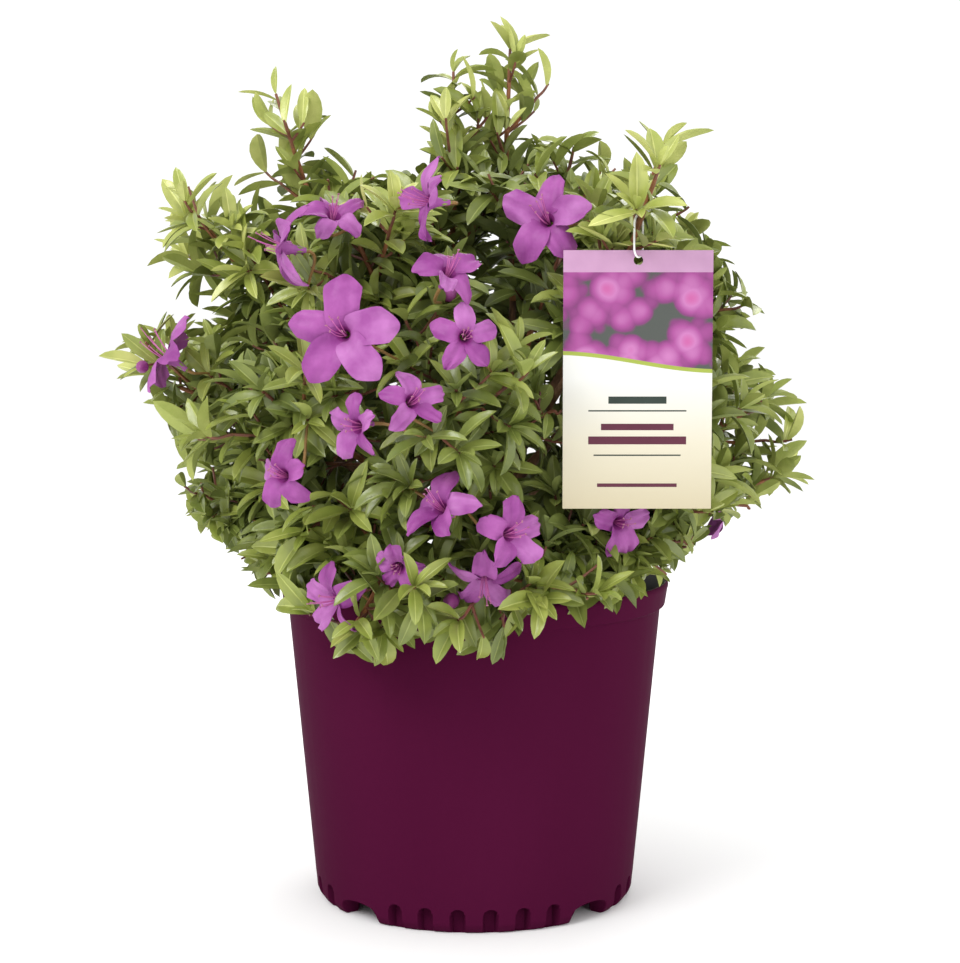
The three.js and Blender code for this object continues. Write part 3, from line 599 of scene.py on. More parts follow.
class Bloom:
    """A bloom: the middle of its rim, the way it faces, and its width."""

    def __init__(self, centre, facing, width):
        self.centre = centre
        self.facing = facing
        self.width = width
        self.owner = None

    def base(self):
        return self.centre - self.facing * bloom_tube_length

    def sides(self):
        """Two directions square to the way it faces: to the side, and up."""
        across = sideways(self.facing)
        over = cross(self.facing, across)
        return (across, over) if over[2] > 0 else (-across, -over)

    def corners(self):
        """The points of the solid's rim and its base."""
        across = sideways(self.facing)
        over = cross(self.facing, across)
        rim = []
        for i in range(10):
            turn = math.radians(90 + i * 36)
            reach, rise = solid_petal if i % 2 == 0 else solid_notch
            side = across * math.cos(turn) + over * math.sin(turn)
            rim.append(self.centre + (side * reach + self.facing * rise) * self.width)
        return rim + [self.base()]

    def is_clear(self):
        """Whether its points are clear. Its rim may spread over the edge of its mass's space."""
        *rim, base = self.corners()
        points = np.array([self.centre, *rim])
        others = np.delete(stem_distances(points), self.owner.index, axis=1).min(1)
        spread = off_fixtures(points, 1) & off_boughs(points, bough_room) & (others > bough_room)
        return is_clear([base], self.owner) and bool(spread.all())

    def settle(self, settled):
        """Moves it in towards its mass's stem until it is clear, or gives it up."""
        for _ in range(bloom_tries):
            self.owner = masses[int(stem_distances(self.centre[None])[0].argmin())]
            apart = all(gap_between(other.centre, self.centre) > (other.width + self.width) * blooms_apart
                        for other in settled)
            if apart and self.is_clear():
                return True
            move = nearest_on(self.centre, self.owner.stem).point - self.centre
            self.centre = self.centre + move * min(1, 4 / math.sqrt(move @ move))
        return False


def bloom_places():
    """The blooms where they are asked for: those on the front, then those round the back."""
    places = []
    for right, height, width, azimuth, pitch, *depth in front_blooms:
        outside = crown_radius_at(height) * (depth[0] if depth else bloom_depth)
        reach = max(abs(right) + 1, outside)
        forward = math.sqrt(reach * reach - right * right)
        places.append(Bloom(np.array([right, -forward, height]), heading(azimuth, pitch), width))
    random = random_from(77)
    for i in range(back_bloom_count):
        round_back = ((i * golden_share) % 1) * (360 - 2 * first_back_bloom)
        azimuth = first_back_bloom + round_back + (random() - 0.5) * back_bloom_sway
        height = lowest_back_bloom + back_bloom_rise * ((i + 0.5) / back_bloom_count)
        faces = azimuth + (random() - 0.5) * back_bloom_turn
        facing = heading(faces, (random() - 0.3) * back_bloom_turn)
        width = back_bloom_width * (0.85 + 0.3 * random())
        centre = polar(azimuth, crown_radius_at(height) * back_bloom_depth, height)
        places.append(Bloom(centre, facing, width))
    return places


blooms = []
for bloom in bloom_places():
    if bloom.settle(blooms):
        blooms.append(bloom)


def off_blooms(points, ahead=0.3, room=own_bloom_room, mass=None):
    """Which points keep off the blooms, and further off those of masses other than their own."""
    keep = np.ones(len(points), bool)
    for bloom in blooms:
        away = mass is not None and bloom.owner is not mass
        start = bloom.centre - bloom.facing * bloom_tube_length * 0.6
        end = bloom.centre + bloom.facing * bloom.width * ahead
        least = bloom.width * (other_bloom_room if away else room)
        keep &= distances(points, (start[None], end[None]))[:, 0] > least
    return keep


def side_shoots(mass):
    """The side shoots of a mass, where its solid has them."""
    random = random_from(1000 + mass.index * 17)
    shoots = []
    for k in range(shoots_per_mass):
        along = first_shoot + shoot_stretch * ((k + 0.5) / shoots_per_mass)
        seat = back_from(mass.stem, mass.stem_length * (1 - along))
        turn = math.radians(first_shoot_turn + (360 / ranks) * k + 40 * (random() - 0.5))
        opening = math.radians(shoot_opening + 14 * (random() - 0.5))
        full_length = mass.spread * (1 - 0.35 * (k / shoots_per_mass)) * (0.82 + 0.36 * random())
        for share, sway in shoot_tries:
            length = full_length * share
            direction = unit(out_from(seat, turn + math.radians(sway), opening) + up * shoot_lift)
            places = [seat.point + direction * length * far for far in shoot_tests]
            if is_clear(places, mass) and off_blooms(np.array(places[1::2]), mass=mass).all():
                shoots.append([seat.point, places[-1]])
                break
    return shoots


class Twig:
    """A growing twig: a row of points, its radii at both ends, its mass, and its order from 0."""

    def __init__(self, points, radii, mass, order):
        self.points = np.array(points)
        self.radii = radii
        self.mass = mass
        self.order = order
        steps = np.linalg.norm(np.diff(self.points, axis=0), axis=1)
        self.marks = np.concatenate([[0], np.cumsum(steps)])
        self.length = self.marks[-1]

    def at(self, distance):
        """The point and the direction at a distance from the start."""
        distance = min(max(distance, 0), self.length)
        i = min(len(self.marks) - 2, int(np.searchsorted(self.marks, distance, "right")) - 1)
        step = self.points[i + 1] - self.points[i]
        share = (distance - self.marks[i]) / (self.marks[i + 1] - self.marks[i])
        return self.points[i] + step * share, unit(step)


def smooth_through(points, steps=4):
    """More points on a smooth curve through a row of points."""
    points = [2 * points[0] - points[1], *points, 2 * points[-1] - points[-2]]
    curve = []
    for a, b, c, d in zip(points, points[1:], points[2:], points[3:]):
        for k in range(steps):
            t = k / steps
            curve.append(0.5 * (2 * b + (c - a) * t + (2 * a - 5 * b + 4 * c - d) * t * t
                                + (3 * b - a - 3 * c + d) * t**3))
    curve.append(points[-2])
    return curve


def grown_on(start, direction, length, steps=3, lift=0.1):
    """The points of a twig that bends up to the light as it grows."""
    points = [start]
    for _ in range(steps):
        direction = unit(direction + up * lift)
        points.append(points[-1] + direction * length / steps)
    return points


def fits(points, mass):
    """Whether a finer twig has room at some points on its way."""
    keep = in_space_of(mass, points, twig_slack) & off_boughs(points, twig_bough_room)
    keep &= off_fixtures(points, 0.5) & in_outline(mass, points)
    return keep.all() and off_blooms(points).all()


def is_left_open(point):
    """Whether a finer twig is left out where the crown is open: low on its right and high on it."""
    is_low = point[0] > low_opening[0] and point[2] < low_opening[1]
    is_high = point[0] > high_opening[0] and point[2] > high_opening[1]
    return (is_low or is_high) and thinning() < open_share


def side_twigs(parent, random, spacing, length):
    """The finer twigs that grow from a stem or a shoot."""
    twigs = []
    count = max(1, round(parent.length / spacing))
    first = 360 * random()
    for k in range(count):
        along = 0.16 + 0.74 * ((k + 0.5 * random() + 0.25) / count)
        joint = Joint(*parent.at(parent.length * along))
        full_length = length * (0.7 + 0.6 * random()) * (1 - 0.3 * along)
        opening = math.radians(twig_opening + 22 * random())
        for share, sway in shoot_tries:
            turn = math.radians(first + golden_angle * k + sway)
            points = grown_on(joint.point, out_from(joint, turn, opening), full_length * share)
            tested = np.array(points[1:])
            if fits(tested, parent.mass):
                if not is_left_open(tested[-1]):
                    twigs.append(Twig(points, twig_radii, parent.mass, 2))
                break
    return twigs


def lead_on(start, direction, mass, lift):
    """The last stretch of a stem or a shoot, as far as the outline and the tag leave room for it."""
    growth = spire_growth if mass.pitch > steep_pitch else lead_growth
    for share in (1, 0.7, 0.4, 0.15):
        points = grown_on(start, direction, growth * share, 2, lift)
        if (in_outline(mass, np.array(points)) & off_fixtures(np.array(points), 1)).all():
            break
    return points


def twigs_of(mass):
    """Every twig of a mass, from its stem to the finest."""
    random = random_from(9000 + mass.index * 13)
    lead = mass.stem[-1]
    ahead = lead_on(lead.point, lead.tangent, mass, 0.05)
    stem = Twig(smooth_through([joint.point for joint in mass.stem] + ahead[1:]), stem_radii, mass, 0)
    twigs = [stem]
    size = twig_length * mass.spread / usual_spread
    spacing = twig_spacing * (1.5 if mass.pitch > steep_pitch else 1)
    twigs += side_twigs(stem, random, spacing * 0.9, size)
    for start, end in side_shoots(mass):
        direction = unit(end - start)
        half = gap_between(start, end) * 0.5
        points = [start, *grown_on(start + direction * half, direction, half, 2, 0.06),
                  *lead_on(end, direction, mass, 0.12)[1:]]
        shoot = Twig(smooth_through(points, 3), shoot_radii, mass, 1)
        twigs.append(shoot)
        twigs += side_twigs(shoot, random, spacing * 1.7, size * 0.85)
    return twigs


thinning = random_from(41)
twigs = [twig for mass in masses for twig in twigs_of(mass)]


def openness_of(point):
    """How far out in the crown a point is, from 0 at its heart to 1 at its surface."""
    off = (point - crown_heart) / crown_reach
    return math.sqrt(off @ off)


def inner_twigs():
    """More of the finer twigs inside the crown, which hide what is behind it."""
    random = random_from(53)
    limbs = [twig for twig in twigs if twig.order < 2]
    grown = [side_twigs(limb, random, inner_spacing, twig_length * 0.8) for limb in limbs]
    return [twig for some in grown for twig in some if openness_of(twig.points[-1]) < inner_openness]


def tint_of(point, random):
    """The tint of a spray: the further out, the younger; nearer the top, younger and painted lighter, and
    nearer the sides, painted lighter, for the light that falls there.
    """
    young = openness_of(point) + tint_play * (random() - 0.5)
    # Painted light: high sprays and those far to a side get a lighter tint, standing in for the light that
    # falls on them.
    young += top_youth_and_light * share_between(point[2], 370, 480)
    young += side_painted_light * share_between(abs(point[0]), 20, 190)
    return sum(young <= least for least in least_youth_and_light)


def leaf_of(twig, random, distance, turn, opening, size, tint):
    """One leaf at a distance back from a twig's tip: where it grows, its way, face, form and tint."""
    joint = Joint(*twig.at(twig.length - distance))
    along = unit(out_from(joint, turn, opening) + up * 0.12)
    outward = unit(np.array([joint.point[0], joint.point[1], 0]) + 1e-6)
    facing = joint.tangent * 0.5 + up * 0.65 + outward * 0.3
    facing = squared(facing + 0.5 * np.array([random() - 0.5 for _ in range(3)]), along)
    length = leaf_length * size * (0.78 + 0.44 * random())
    width = length * leaf_width * (0.85 + 0.35 * random())
    curl = 0.12 + 0.85 * random() * (0.5 if tint == youngest else 1)
    fold = 0.2 + 0.6 * random()
    return (*joint.point, *along, *facing, length, width, curl, fold, tint, twig.mass.index)


def spray(twig, random):
    """The leaves of a twig: a rosette at its tip, and more down its length."""
    leaves = []
    tip = twig.points[-1]
    tint = tint_of(tip, random)
    rosette = 6 + int(3 * random())
    turn = 2 * math.pi * random()
    for i in range(rosette):
        share = i / (rosette - 1)
        opening = math.radians(tip_opening + rosette_spread * share**0.8 + 8 * (random() - 0.5))
        size = 0.6 + 0.45 * math.sin(1.9 * share)
        leaves.append(leaf_of(twig, random, 0.5 + 5 * share, turn, opening, size, tint))
        turn += math.radians(golden_angle)
    bare = least_bare + (outer_bare - 0.1 * twig.order) * share_between(openness_of(tip), 0.75, 1.0)
    bare += low_right_bare * share_between(tip[0], 110, 170) * share_between(-tip[2], -360, -320)
    distance = first_side_leaf
    while distance < twig.length * (1 - bare):
        opening = math.radians(leaf_opening + 18 * random())
        shade = min(oldest, tint + (1 if distance < old_from else 2))
        leaves.append(leaf_of(twig, random, distance, turn, opening, 0.85 + 0.25 * random(), shade))
        distance += leaf_spacing * (0.8 + 0.5 * random())
        turn += math.radians(golden_angle)
    return leaves


def grow_leaves():
    """The rows of all the leaves that have room."""
    rows = []
    for mass in masses:
        random = random_from(20000 + mass.index * 7)
        for twig in twigs:
            if twig.mass is mass:
                rows += spray(twig, random)
    rows = np.array(rows)
    root, along, length = rows[:, 0:3], rows[:, 3:6], rows[:, 9:10]
    index = rows[:, 14].astype(int)
    whole = leaf_points(rows, leaf_template()[0])
    keep = off_fixtures(whole.reshape(-1, 3), 0.1).reshape(len(rows), -1).all(1)
    for far in (0.3, 0.65, 1.0):
        points = root + along * length * far
        keep &= off_fixtures(points, 0.3) & off_blooms(points, 0.75, 0.36)
        if far > 0.3:
            keep &= off_boughs(points, leaf_bough_room)
        gaps = stem_distances(points)
        keep &= gaps[np.arange(len(rows)), index] - leaf_slack < gaps.min(1)
        for mass in masses:
            own = index == mass.index
            keep[own] &= in_outline(mass, points[own])
    return rows[keep]


def stood(name, data):
    """A new object in the scene."""
    thing = bpy.data.objects.new(name, data)
    bpy.context.scene.collection.objects.link(thing)
    return thing


class Pile:
    """Triangles gathered for one piece, each with the slot of its material."""

    def __init__(self):
        self.points = []
        self.faces = []
        self.slots = []
        self.count = 0

    def add(self, points, faces, slot=0):
        points = np.asarray(points, float).reshape(-1, 3)
        faces = np.asarray(faces, int).reshape(-1, 3)
        self.points.append(points)
        self.faces.append(faces + self.count)
        self.slots.append(np.broadcast_to(np.asarray(slot, int), len(faces)))
        self.count += len(points)

    def piece(self, name, materials, slot, nodes, sharp_angle=50):
        """The object that these triangles make, riding on the one body."""
        mesh = bpy.data.meshes.new(name)
        mesh.from_pydata(np.concatenate(self.points) * metre, [], np.concatenate(self.faces))
        mesh.polygons.foreach_set("material_index", np.concatenate(self.slots).astype(np.int32))
        mesh.validate()
        mesh.polygons.foreach_set("use_smooth", np.ones(len(mesh.polygons), bool))
        mesh.set_sharp_from_angle(angle=math.radians(sharp_angle))
        for material in materials:
            mesh.materials.append(material)
        piece = stood(name, mesh)
        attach(piece, "root")
        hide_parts(*nodes)


def grid_faces(rows, columns, closed=False):
    """The triangles of a grid of points, closed on itself across its columns if need be."""
    i = np.arange(rows - 1)[:, None] * columns
    k = np.arange(columns if closed else columns - 1)[None]
    following = (k + 1) % columns
    a, b, c, d = i + k, i + following, i + columns + following, i + columns + k
    return np.stack([np.stack([a, b, c], -1), np.stack([a, c, d], -1)], 2).reshape(-1, 3)


def skin(pile, rings, ends, slots=0):
    """A body over a row of rings of points, each end closed to a point."""
    count, sides = len(rings), len(rings[0])
    k = np.arange(sides)
    following = (k + 1) % sides
    last = (count - 1) * sides
    foot = np.stack([np.full(sides, count * sides), following, k], 1)
    top = np.stack([np.full(sides, count * sides + 1), last + k, last + following], 1)
    faces = np.concatenate([grid_faces(count, sides, True), foot, top])
    pile.add(np.concatenate([*rings, np.array(ends)]), faces, slots)


def tube(pile, points, radii, sides, slot=0, relief=None):
    """A round limb through a row of points, with both ends closed."""
    joints = joints_through(points, radii)
    turns = full_turn(sides)
    rings = []
    for joint in joints:
        over = cross(joint.tangent, joint.across)
        radius = joint.radius * relief(joint.point, turns) if relief else joint.radius
        side = np.outer(np.cos(turns), joint.across) + np.outer(np.sin(turns), over)
        rings.append(joint.point + side * np.reshape(radius, (-1, 1)))
    if not np.isscalar(slot):
        ends = np.repeat([slot[0], slot[-1]], sides)
        slot = np.concatenate([np.repeat(slot, 2 * sides), ends])
    skin(pile, rings, [joints[0].point, joints[-1].point], slot)


def paint(red, green, blue):
    """A colour given as it looks on a screen, from 0 to 255, as the shader takes it."""
    def linear(value):
        value /= 255
        return value / 12.92 if value <= 0.04045 else ((value + 0.055) / 1.055) ** 2.4
    return (linear(red), linear(green), linear(blue), 1)


class Finish:
    """A material on one principled shader, with helpers for the nodes that vary it."""

    def __init__(self, name, roughness, specular):
        self.material = bpy.data.materials.new(name)
        self.material.use_nodes = True
        self.nodes = self.material.node_tree.nodes
        self.place = self.nodes.new("ShaderNodeTexCoord").outputs["Object"]
        self.shade({"Roughness": roughness, "Specular IOR Level": specular})

    def feed(self, node, inputs):
        """Sets a node's inputs, or links them where they are given another node's output."""
        for name, value in inputs.items():
            if isinstance(value, bpy.types.NodeSocket):
                self.material.node_tree.links.new(value, node.inputs[name])
            else:
                node.inputs[name].default_value = value
        return node.outputs

    def shade(self, inputs):
        """Sets or links inputs of the shader itself."""
        self.feed(self.nodes["Principled BSDF"], inputs)
        return self

    def node(self, kind, inputs):
        """The outputs of a new node."""
        return self.feed(self.nodes.new("ShaderNode" + kind), inputs)

    def noise(self, scale, detail=3, stretch=(1, 1, 1)):
        """Noise in the object's space. Its scale is in cycles per metre."""
        place = self.node("Mapping", {"Vector": self.place, "Scale": stretch})["Vector"]
        return self.node("TexNoise", {"Vector": place, "Scale": scale, "Detail": detail})["Fac"]

    def colour(self, factor, stops):
        """A row of colours along a factor, as pairs of place and colour."""
        node = self.nodes.new("ShaderNodeValToRGB")
        elements = node.color_ramp.elements
        while len(elements) < len(stops):
            elements.new(0.5)
        for element, (place, colour) in zip(elements, stops):
            element.position = place
            element.color = paint(*colour)
        return self.shade({"Base Color": self.feed(node, {"Fac": factor})["Color"]})

    def bump(self, factor, depth):
        """Relief from a factor. Its depth is in millimetres."""
        relief = self.node("Bump", {"Height": factor, "Distance": depth * metre})
        return self.shade({"Normal": relief["Normal"]})


def mottled(name, dark, light, scale, roughness, specular, depth, relief_scale):
    """A finish of two close colours in soft patches, with fine relief."""
    finish = Finish(name, roughness, specular)
    finish.colour(finish.noise(scale), [(0.35, dark), (0.65, light)])
    return finish.bump(finish.noise(relief_scale, 4), depth).material


def lighter(colour, step):
    """A colour made lighter by a step."""
    return [min(255, value + step) for value in colour]


def leaf_finishes(name, dark, light):
    """The finishes of the upper faces, undersides and midribs of the leaves in one tint."""
    name = "leaf_" + name
    pale, paler = lighter(dark, 16), lighter(light, 20)
    return [
        mottled(name, dark, light, 45, 0.3, 0.5, 0.1, 700),
        mottled(name + "_underside", pale, paler, 45, 0.62, 0.3, 0.2, 900),
        mottled(name + "_midrib", light, lighter(light, 34), 45, 0.4, 0.5, 0.1, 700),
    ]


def leaf_template():
    """A leaf over its length and width: points as share along, share across and rise, and faces."""
    stations = np.array([0.1, 0.25, 0.41, 0.57, 0.73, 0.88])
    half = np.sin(math.pi * stations**1.05) ** 0.7
    across = np.array([-1, -0.5, -0.08, 0.08, 0.5, 1])
    rises = {1: 0, 0.5: 0.1, 0.08: -0.05}
    points = []
    for i, (y, width) in enumerate(zip(stations, half)):
        for x in across:
            ripple = 0.07 * (-1) ** i if abs(x) == 0.5 else 0
            points.append((y, x * width, (rises[abs(x)] + ripple) * width, abs(x) * width))
    top_count = len(points)
    points += [(y, 0, -1, 0) for y in stations]
    root, tip = len(points), len(points) + 1
    points += [(0, 0, 0, 0), (1, 0, 0, 0)]
    count, columns = len(stations), len(across)
    last = (count - 1) * columns
    over = [(root, k + 1, k, last + k, last + k + 1, tip) for k in range(columns - 1)]
    under = []
    for i in range(count - 1):
        left, middle, right = i * columns, top_count + i, (i + 1) * columns - 1
        under += [(left, middle + 1, middle), (left, left + columns, middle + 1)]
        under += [(right, middle, middle + 1), (right, middle + 1, right + columns)]
    foot, head = top_count, top_count + count - 1
    under += [(root, 0, foot), (root, foot, columns - 1)]
    under += [(last, tip, head), (last + columns - 1, head, tip)]
    faces = np.vstack([grid_faces(count, columns), np.reshape(over, (-1, 3)), under])[:, ::-1]
    # The blade has slot 0, the underside 1 and the midrib 2.
    top_slots = np.tile(np.repeat([0, 0, 2, 0, 0], 2), count)
    return np.array(points), faces, np.concatenate([top_slots, np.ones(len(under), int)])


def leaf_points(rows, template):
    """The points of many leaves at once."""
    root, along, facing = rows[:, None, 0:3], rows[:, None, 3:6], rows[:, None, 6:9]
    length, width, curl, fold = (rows[:, k, None] for k in (9, 10, 11, 12))
    across = np.cross(along, facing)
    y, x, rise, spread = template.T
    bend = curl * y
    forward = length * np.sin(bend) / curl
    drop = length * (1 - np.cos(bend)) / curl
    lift = np.where(rise == -1, -leaf_thickness, rise * width / 2 + fold * spread * width / 2)
    normal = facing * np.cos(bend)[..., None] + along * np.sin(bend)[..., None]
    place = root + along * forward[..., None] - facing * drop[..., None]
    return place + across * (x * width / 2)[..., None] + normal * lift[..., None]


def cut_back(twigs, rows):
    """The twigs, each cut back to just past its last leaf. The stems are left as they are."""
    kept = []
    for twig in twigs:
        bare = np.linalg.norm(rows[:, 0:3] - twig.points[-1], axis=1).min() - past_last_leaf
        length = twig.length - bare
        if twig.order == 0 or bare < least_cut:
            kept.append(twig)
        elif length > least_twig:
            points = [*twig.points[twig.marks < length - 1], twig.at(length)[0]]
            kept.append(Twig(points, twig.radii, twig.mass, twig.order))
    return kept


def make_leaves(rows):
    """The leaves of each tint, in as many pieces as keep each one small."""
    template, faces, slots = leaf_template()
    most = int(most_triangles / len(faces))
    for tint, (name, *look) in enumerate(leaf_tints):
        finishes = leaf_finishes(*look)
        own = rows[rows[:, 13] == tint]
        own = own[np.argsort(own[:, 0], kind="stable")]
        for i, some in enumerate(np.array_split(own, max(1, math.ceil(len(own) / most)))):
            pile = Pile()
            offsets = np.arange(len(some))[:, None, None] * len(template)
            pile.add(leaf_points(some, template), faces[None] + offsets, np.tile(slots, len(some)))
            pile.piece(f"leaves_{name}_{i + 1}", finishes, "foliage", foliage_nodes)


def make_twigs():
    """The stems, shoots and twigs of the masses: brown where old, dark red where young."""
    finishes = [
        mottled("twig_old", (122, 78, 46), (160, 108, 66), 120, 0.7, 0.3, 0.3, 600),
        mottled("twig_mid", (120, 76, 50), (152, 98, 64), 120, 0.6, 0.35, 0.25, 700),
        mottled("twig_young", (98, 56, 46), (130, 82, 62), 120, 0.5, 0.4, 0.2, 800),
    ]
    pile = Pile()
    for twig in twigs:
        count = len(twig.points)
        ages = np.linspace(twig.order * 0.8, twig.order * 0.8 + 1.8, count - 1)
        slots = np.clip(ages, 0, 2).round().astype(int)
        tube(pile, twig.points, np.linspace(*twig.radii, count), 7 if twig.order == 0 else 5, slots)
    pile.piece("twigs", finishes, "bark", foliage_nodes)


def bark_relief(point, turns):
    """Ridges and lumps of bark round a limb at a place."""
    relief = np.ones(len(turns))
    for depth, around, along in bark_scales:
        start = Vector(point) * along
        relief += [depth * noise.noise(Vector((math.cos(turn) * around, math.sin(turn) * around, 0)) + start)
                   for turn in turns]
    return relief


def make_trunk(finish):
    """The trunk with its root flare."""
    turns = full_turn(trunk_sides)
    rings = []
    for rise in np.linspace(0, 1, 30) ** 1.5 * trunk_height:
        flare = root_flare * math.exp(-rise / flare_fall) * (1 + 0.35 * np.cos(flare_lobes * turns))
        radius = trunk_radius + (trunk_tip_radius - trunk_radius) * rise / trunk_height + flare
        centre = trunk_centre(trunk_foot + rise)
        rings.append(centre + ring_round(turns, radius * bark_relief(centre, turns), 0))
    pile = Pile()
    skin(pile, rings, [trunk_centre(trunk_foot), trunk_centre(trunk_foot + trunk_height) + up * 2])
    pile.piece("trunk_bark", [finish], "bark", ["trunk"])


def make_boughs(finish):
    """The boughs, from the fork to where each enters its mass."""
    pile = Pile()
    for mass in masses:
        joints = mass.joints[:stem_joint + 1]
        points = smooth_through([joint.point for joint in joints], 5)
        shares = np.linspace(0, 1, len(points))
        radii = np.interp(shares, np.linspace(0, 1, len(joints)), bough_radii)
        tube(pile, points, radii, 12, 0, bark_relief)
    pile.piece("boughs_bark", [finish], "bark", ["bough_" + mass.name for mass in masses])


def make_bark():
    """The trunk and the boughs in their bark."""
    finish = Finish("bark", 0.85, 0.25)
    stops = [(0.3, (70, 50, 36)), (0.52, (118, 88, 62)), (0.72, (150, 118, 88))]
    finish.colour(finish.noise(60, 5, (3, 3, 0.8)), stops)
    finish.bump(finish.noise(260, 5, (3, 3, 0.7)), 0.8)
    make_trunk(finish.material)
    make_boughs(finish.material)


def columns_of_pot():
    """The angles of the pot's columns in degrees, close together at its niches and notches."""
    angles = []
    for start in (0, 90, 180, 270):
        for i in range(6):
            angles += list(start + (i - 2.5) * niche_step + np.linspace(-3.2, 3.2, 15))
        angles += list(start + 45 + np.linspace(-11, 11, 35))
    return np.unique(np.round(np.array(angles) % 360, 4))


def arch_over(across, width):
    """A round arch over an opening, from 0 at its sides to 1 in its middle."""
    return np.sqrt(np.clip(1 - (across / (width / 2)) ** 2, 0, 1))


def pot_rows(angles):
    """The rows of the pot's skin as radius, height and slot: under its base, up, over and inside."""
    in_quarter = ((angles + 45) % 90) - 45
    in_step = (in_quarter + 2.5 * niche_step + niche_step / 2) % niche_step
    across = np.radians(in_step - niche_step / 2) * foot_radius
    notch_across = np.radians((angles % 90) - 45) * foot_radius
    arch = notch_spring + (notch_height - notch_spring) * arch_over(notch_across, notch_width)
    bottom = arch * soft_step(notch_width / 2 - np.abs(notch_across), -0.4, 1.2)
    yield 0.01, plate_bottom, 0
    yield foot_inner_radius - 1, plate_bottom, 0
    yield foot_inner_radius, np.maximum(bottom, plate_bottom - 1), 0
    yield foot_inner_radius, bottom + 0.8, 0
    yield foot_inner_radius + 0.8, bottom, 0
    yield foot_radius - 1, bottom, 0
    foot_top = niche_height + 1.5
    for i in range(foot_rows + 1):
        height = bottom + 0.6 + (foot_top - bottom - 0.6) * i / foot_rows
        rounding = np.sin(math.pi / 2 * np.clip(height / heel_height, 0, 1))
        outer = foot_radius + (pot_radius_at(height) - foot_radius) * rounding
        arch_top = niche_height - 3 + 3 * arch_over(across, niche_width)
        inside = soft_step(niche_width / 2 - np.abs(across), -0.7, 0.7)
        inside = inside * soft_step(arch_top - height, -0.9, 0.7) * (np.abs(in_quarter) < 3 * niche_step)
        yield outer + (foot_radius - niche_depth - outer) * inside, height, 0
    collar_foot = pot_height - collar_height
    for share in np.linspace(0.02, 1, 16):
        height = foot_top + (collar_foot - 0.6 - foot_top) * share
        yield float(pot_radius_at(np.array(height))), height, 0
    yield shoulder_radius + 0.7, collar_foot, 0
    for out, rise in collar_section:
        yield collar_radius + out, collar_foot + rise, 0
    for out, rise in lip_section:
        yield lip_radius + out, pot_height + rise, 0
    for out, rise in inner_lip_section:
        yield lip_radius + out, pot_height + rise, 1
    plate_top = plate_bottom + plate_thickness
    yield shoulder_radius - wall_thickness, mix_top, 1
    yield heel_radius - wall_thickness, plate_top + 1, 1
    yield heel_radius - wall_thickness - 1, plate_top, 1
    yield 0.01, plate_top, 1


def make_pot():
    """The pot as one closed skin, with its niches and notches drawn in its foot."""
    angles = columns_of_pot()
    turns = np.radians(angles)
    rows = list(pot_rows(angles))
    points = [ring_round(turns, radius, height) for radius, height, _ in rows]
    slots = np.repeat([slot for *_, slot in rows[1:]], 2 * len(turns))
    pile = Pile()
    pile.add(np.concatenate(points), grid_faces(len(rows), len(turns), True), slots)
    outside = Finish("pot_plastic_plum", 0.5, 0.05)
    outside.colour(outside.noise(9, 3, (1, 1, 0.35)), [(0.3, (66, 13, 42)), (0.7, (70, 15, 45))])
    sheen = {"Value": outside.noise(30, 4, (1, 1, 0.2)), "To Min": 0.5, "To Max": 0.6}
    outside.shade({"IOR": 1.16, "Roughness": outside.node("MapRange", sheen)["Result"]})
    outside.bump(outside.noise(420, 3), 0.04)
    inside = mottled("pot_plastic_black", (16, 15, 17), (26, 24, 27), 20, 0.4, 0.5, 0.05, 400)
    pile.piece("pot_shell", [outside.material, inside], "pot_plastic", ["pot"], 40)


def lay_chips(pile, outer):
    """Bark chips that lie in the top of the mix, each a rough box at its own angle."""
    random = random_from(404)
    corners = np.array([(x, y, z) for x in (-1, 1) for y in (-1, 1) for z in (-1, 1)], float)
    faces = [(0, 1, 3), (0, 3, 2), (4, 6, 7), (4, 7, 5), (0, 4, 5), (0, 5, 1),
             (2, 3, 7), (2, 7, 6), (0, 2, 6), (0, 6, 4), (1, 5, 7), (1, 7, 3)]
    for _ in range(chip_count):
        radius = (outer - 7) * math.sqrt(random())
        azimuth = 360 * random()
        size = np.array([2 + 4 * random(), 1.4 + 2 * random(), 0.5 + 0.8 * random()])
        along = heading(360 * random(), 40 * (random() - 0.5))
        face = squared(up + 0.5 * heading(360 * random(), 0), along)
        body = corners * size * (1 + 0.5 * np.array([random() - 0.5 for _ in range(24)]).reshape(8, 3))
        centre = polar(azimuth, radius, mix_top + 0.8 * random())
        pile.add(centre + body @ np.array([along, cross(face, along), face]), faces, 1)


def make_mix():
    """The potting mix: a lumpy top with bark chips lying in it."""
    fine = mottled("mix_fine", (34, 24, 18), (66, 48, 34), 300, 0.95, 0.2, 1.2, 900)
    chips = mottled("mix_chips", (62, 42, 28), (110, 78, 52), 140, 0.9, 0.2, 0.6, 700)
    plate_top = plate_bottom + plate_thickness + seat_gap
    turns = full_turn(mix_sides)
    outer = shoulder_radius - wall_thickness - 0.9
    rows = [(0.01, plate_top), (heel_radius - wall_thickness - 0.6, plate_top), (outer, mix_top - 2)]
    rings = [ring_round(turns, *row) for row in rows]
    for radius in np.linspace(outer - 0.5, 0.01, 40):
        ring = ring_round(turns, radius, float(mix_top))
        lumps = [noise.noise(Vector(point) * 0.09) for point in ring]
        crumbs = [noise.noise(Vector(point) * 0.3) for point in ring]
        ring[:, 2] += 1.6 * np.array(lumps) + 1.1 * np.array(crumbs)
        rings.append(ring)
    pile = Pile()
    pile.add(np.concatenate(rings), grid_faces(len(rings), mix_sides, True))
    lay_chips(pile, outer)
    pile.piece("potting_mix_top", [fine, chips], "potting_mix", ["potting_mix"])


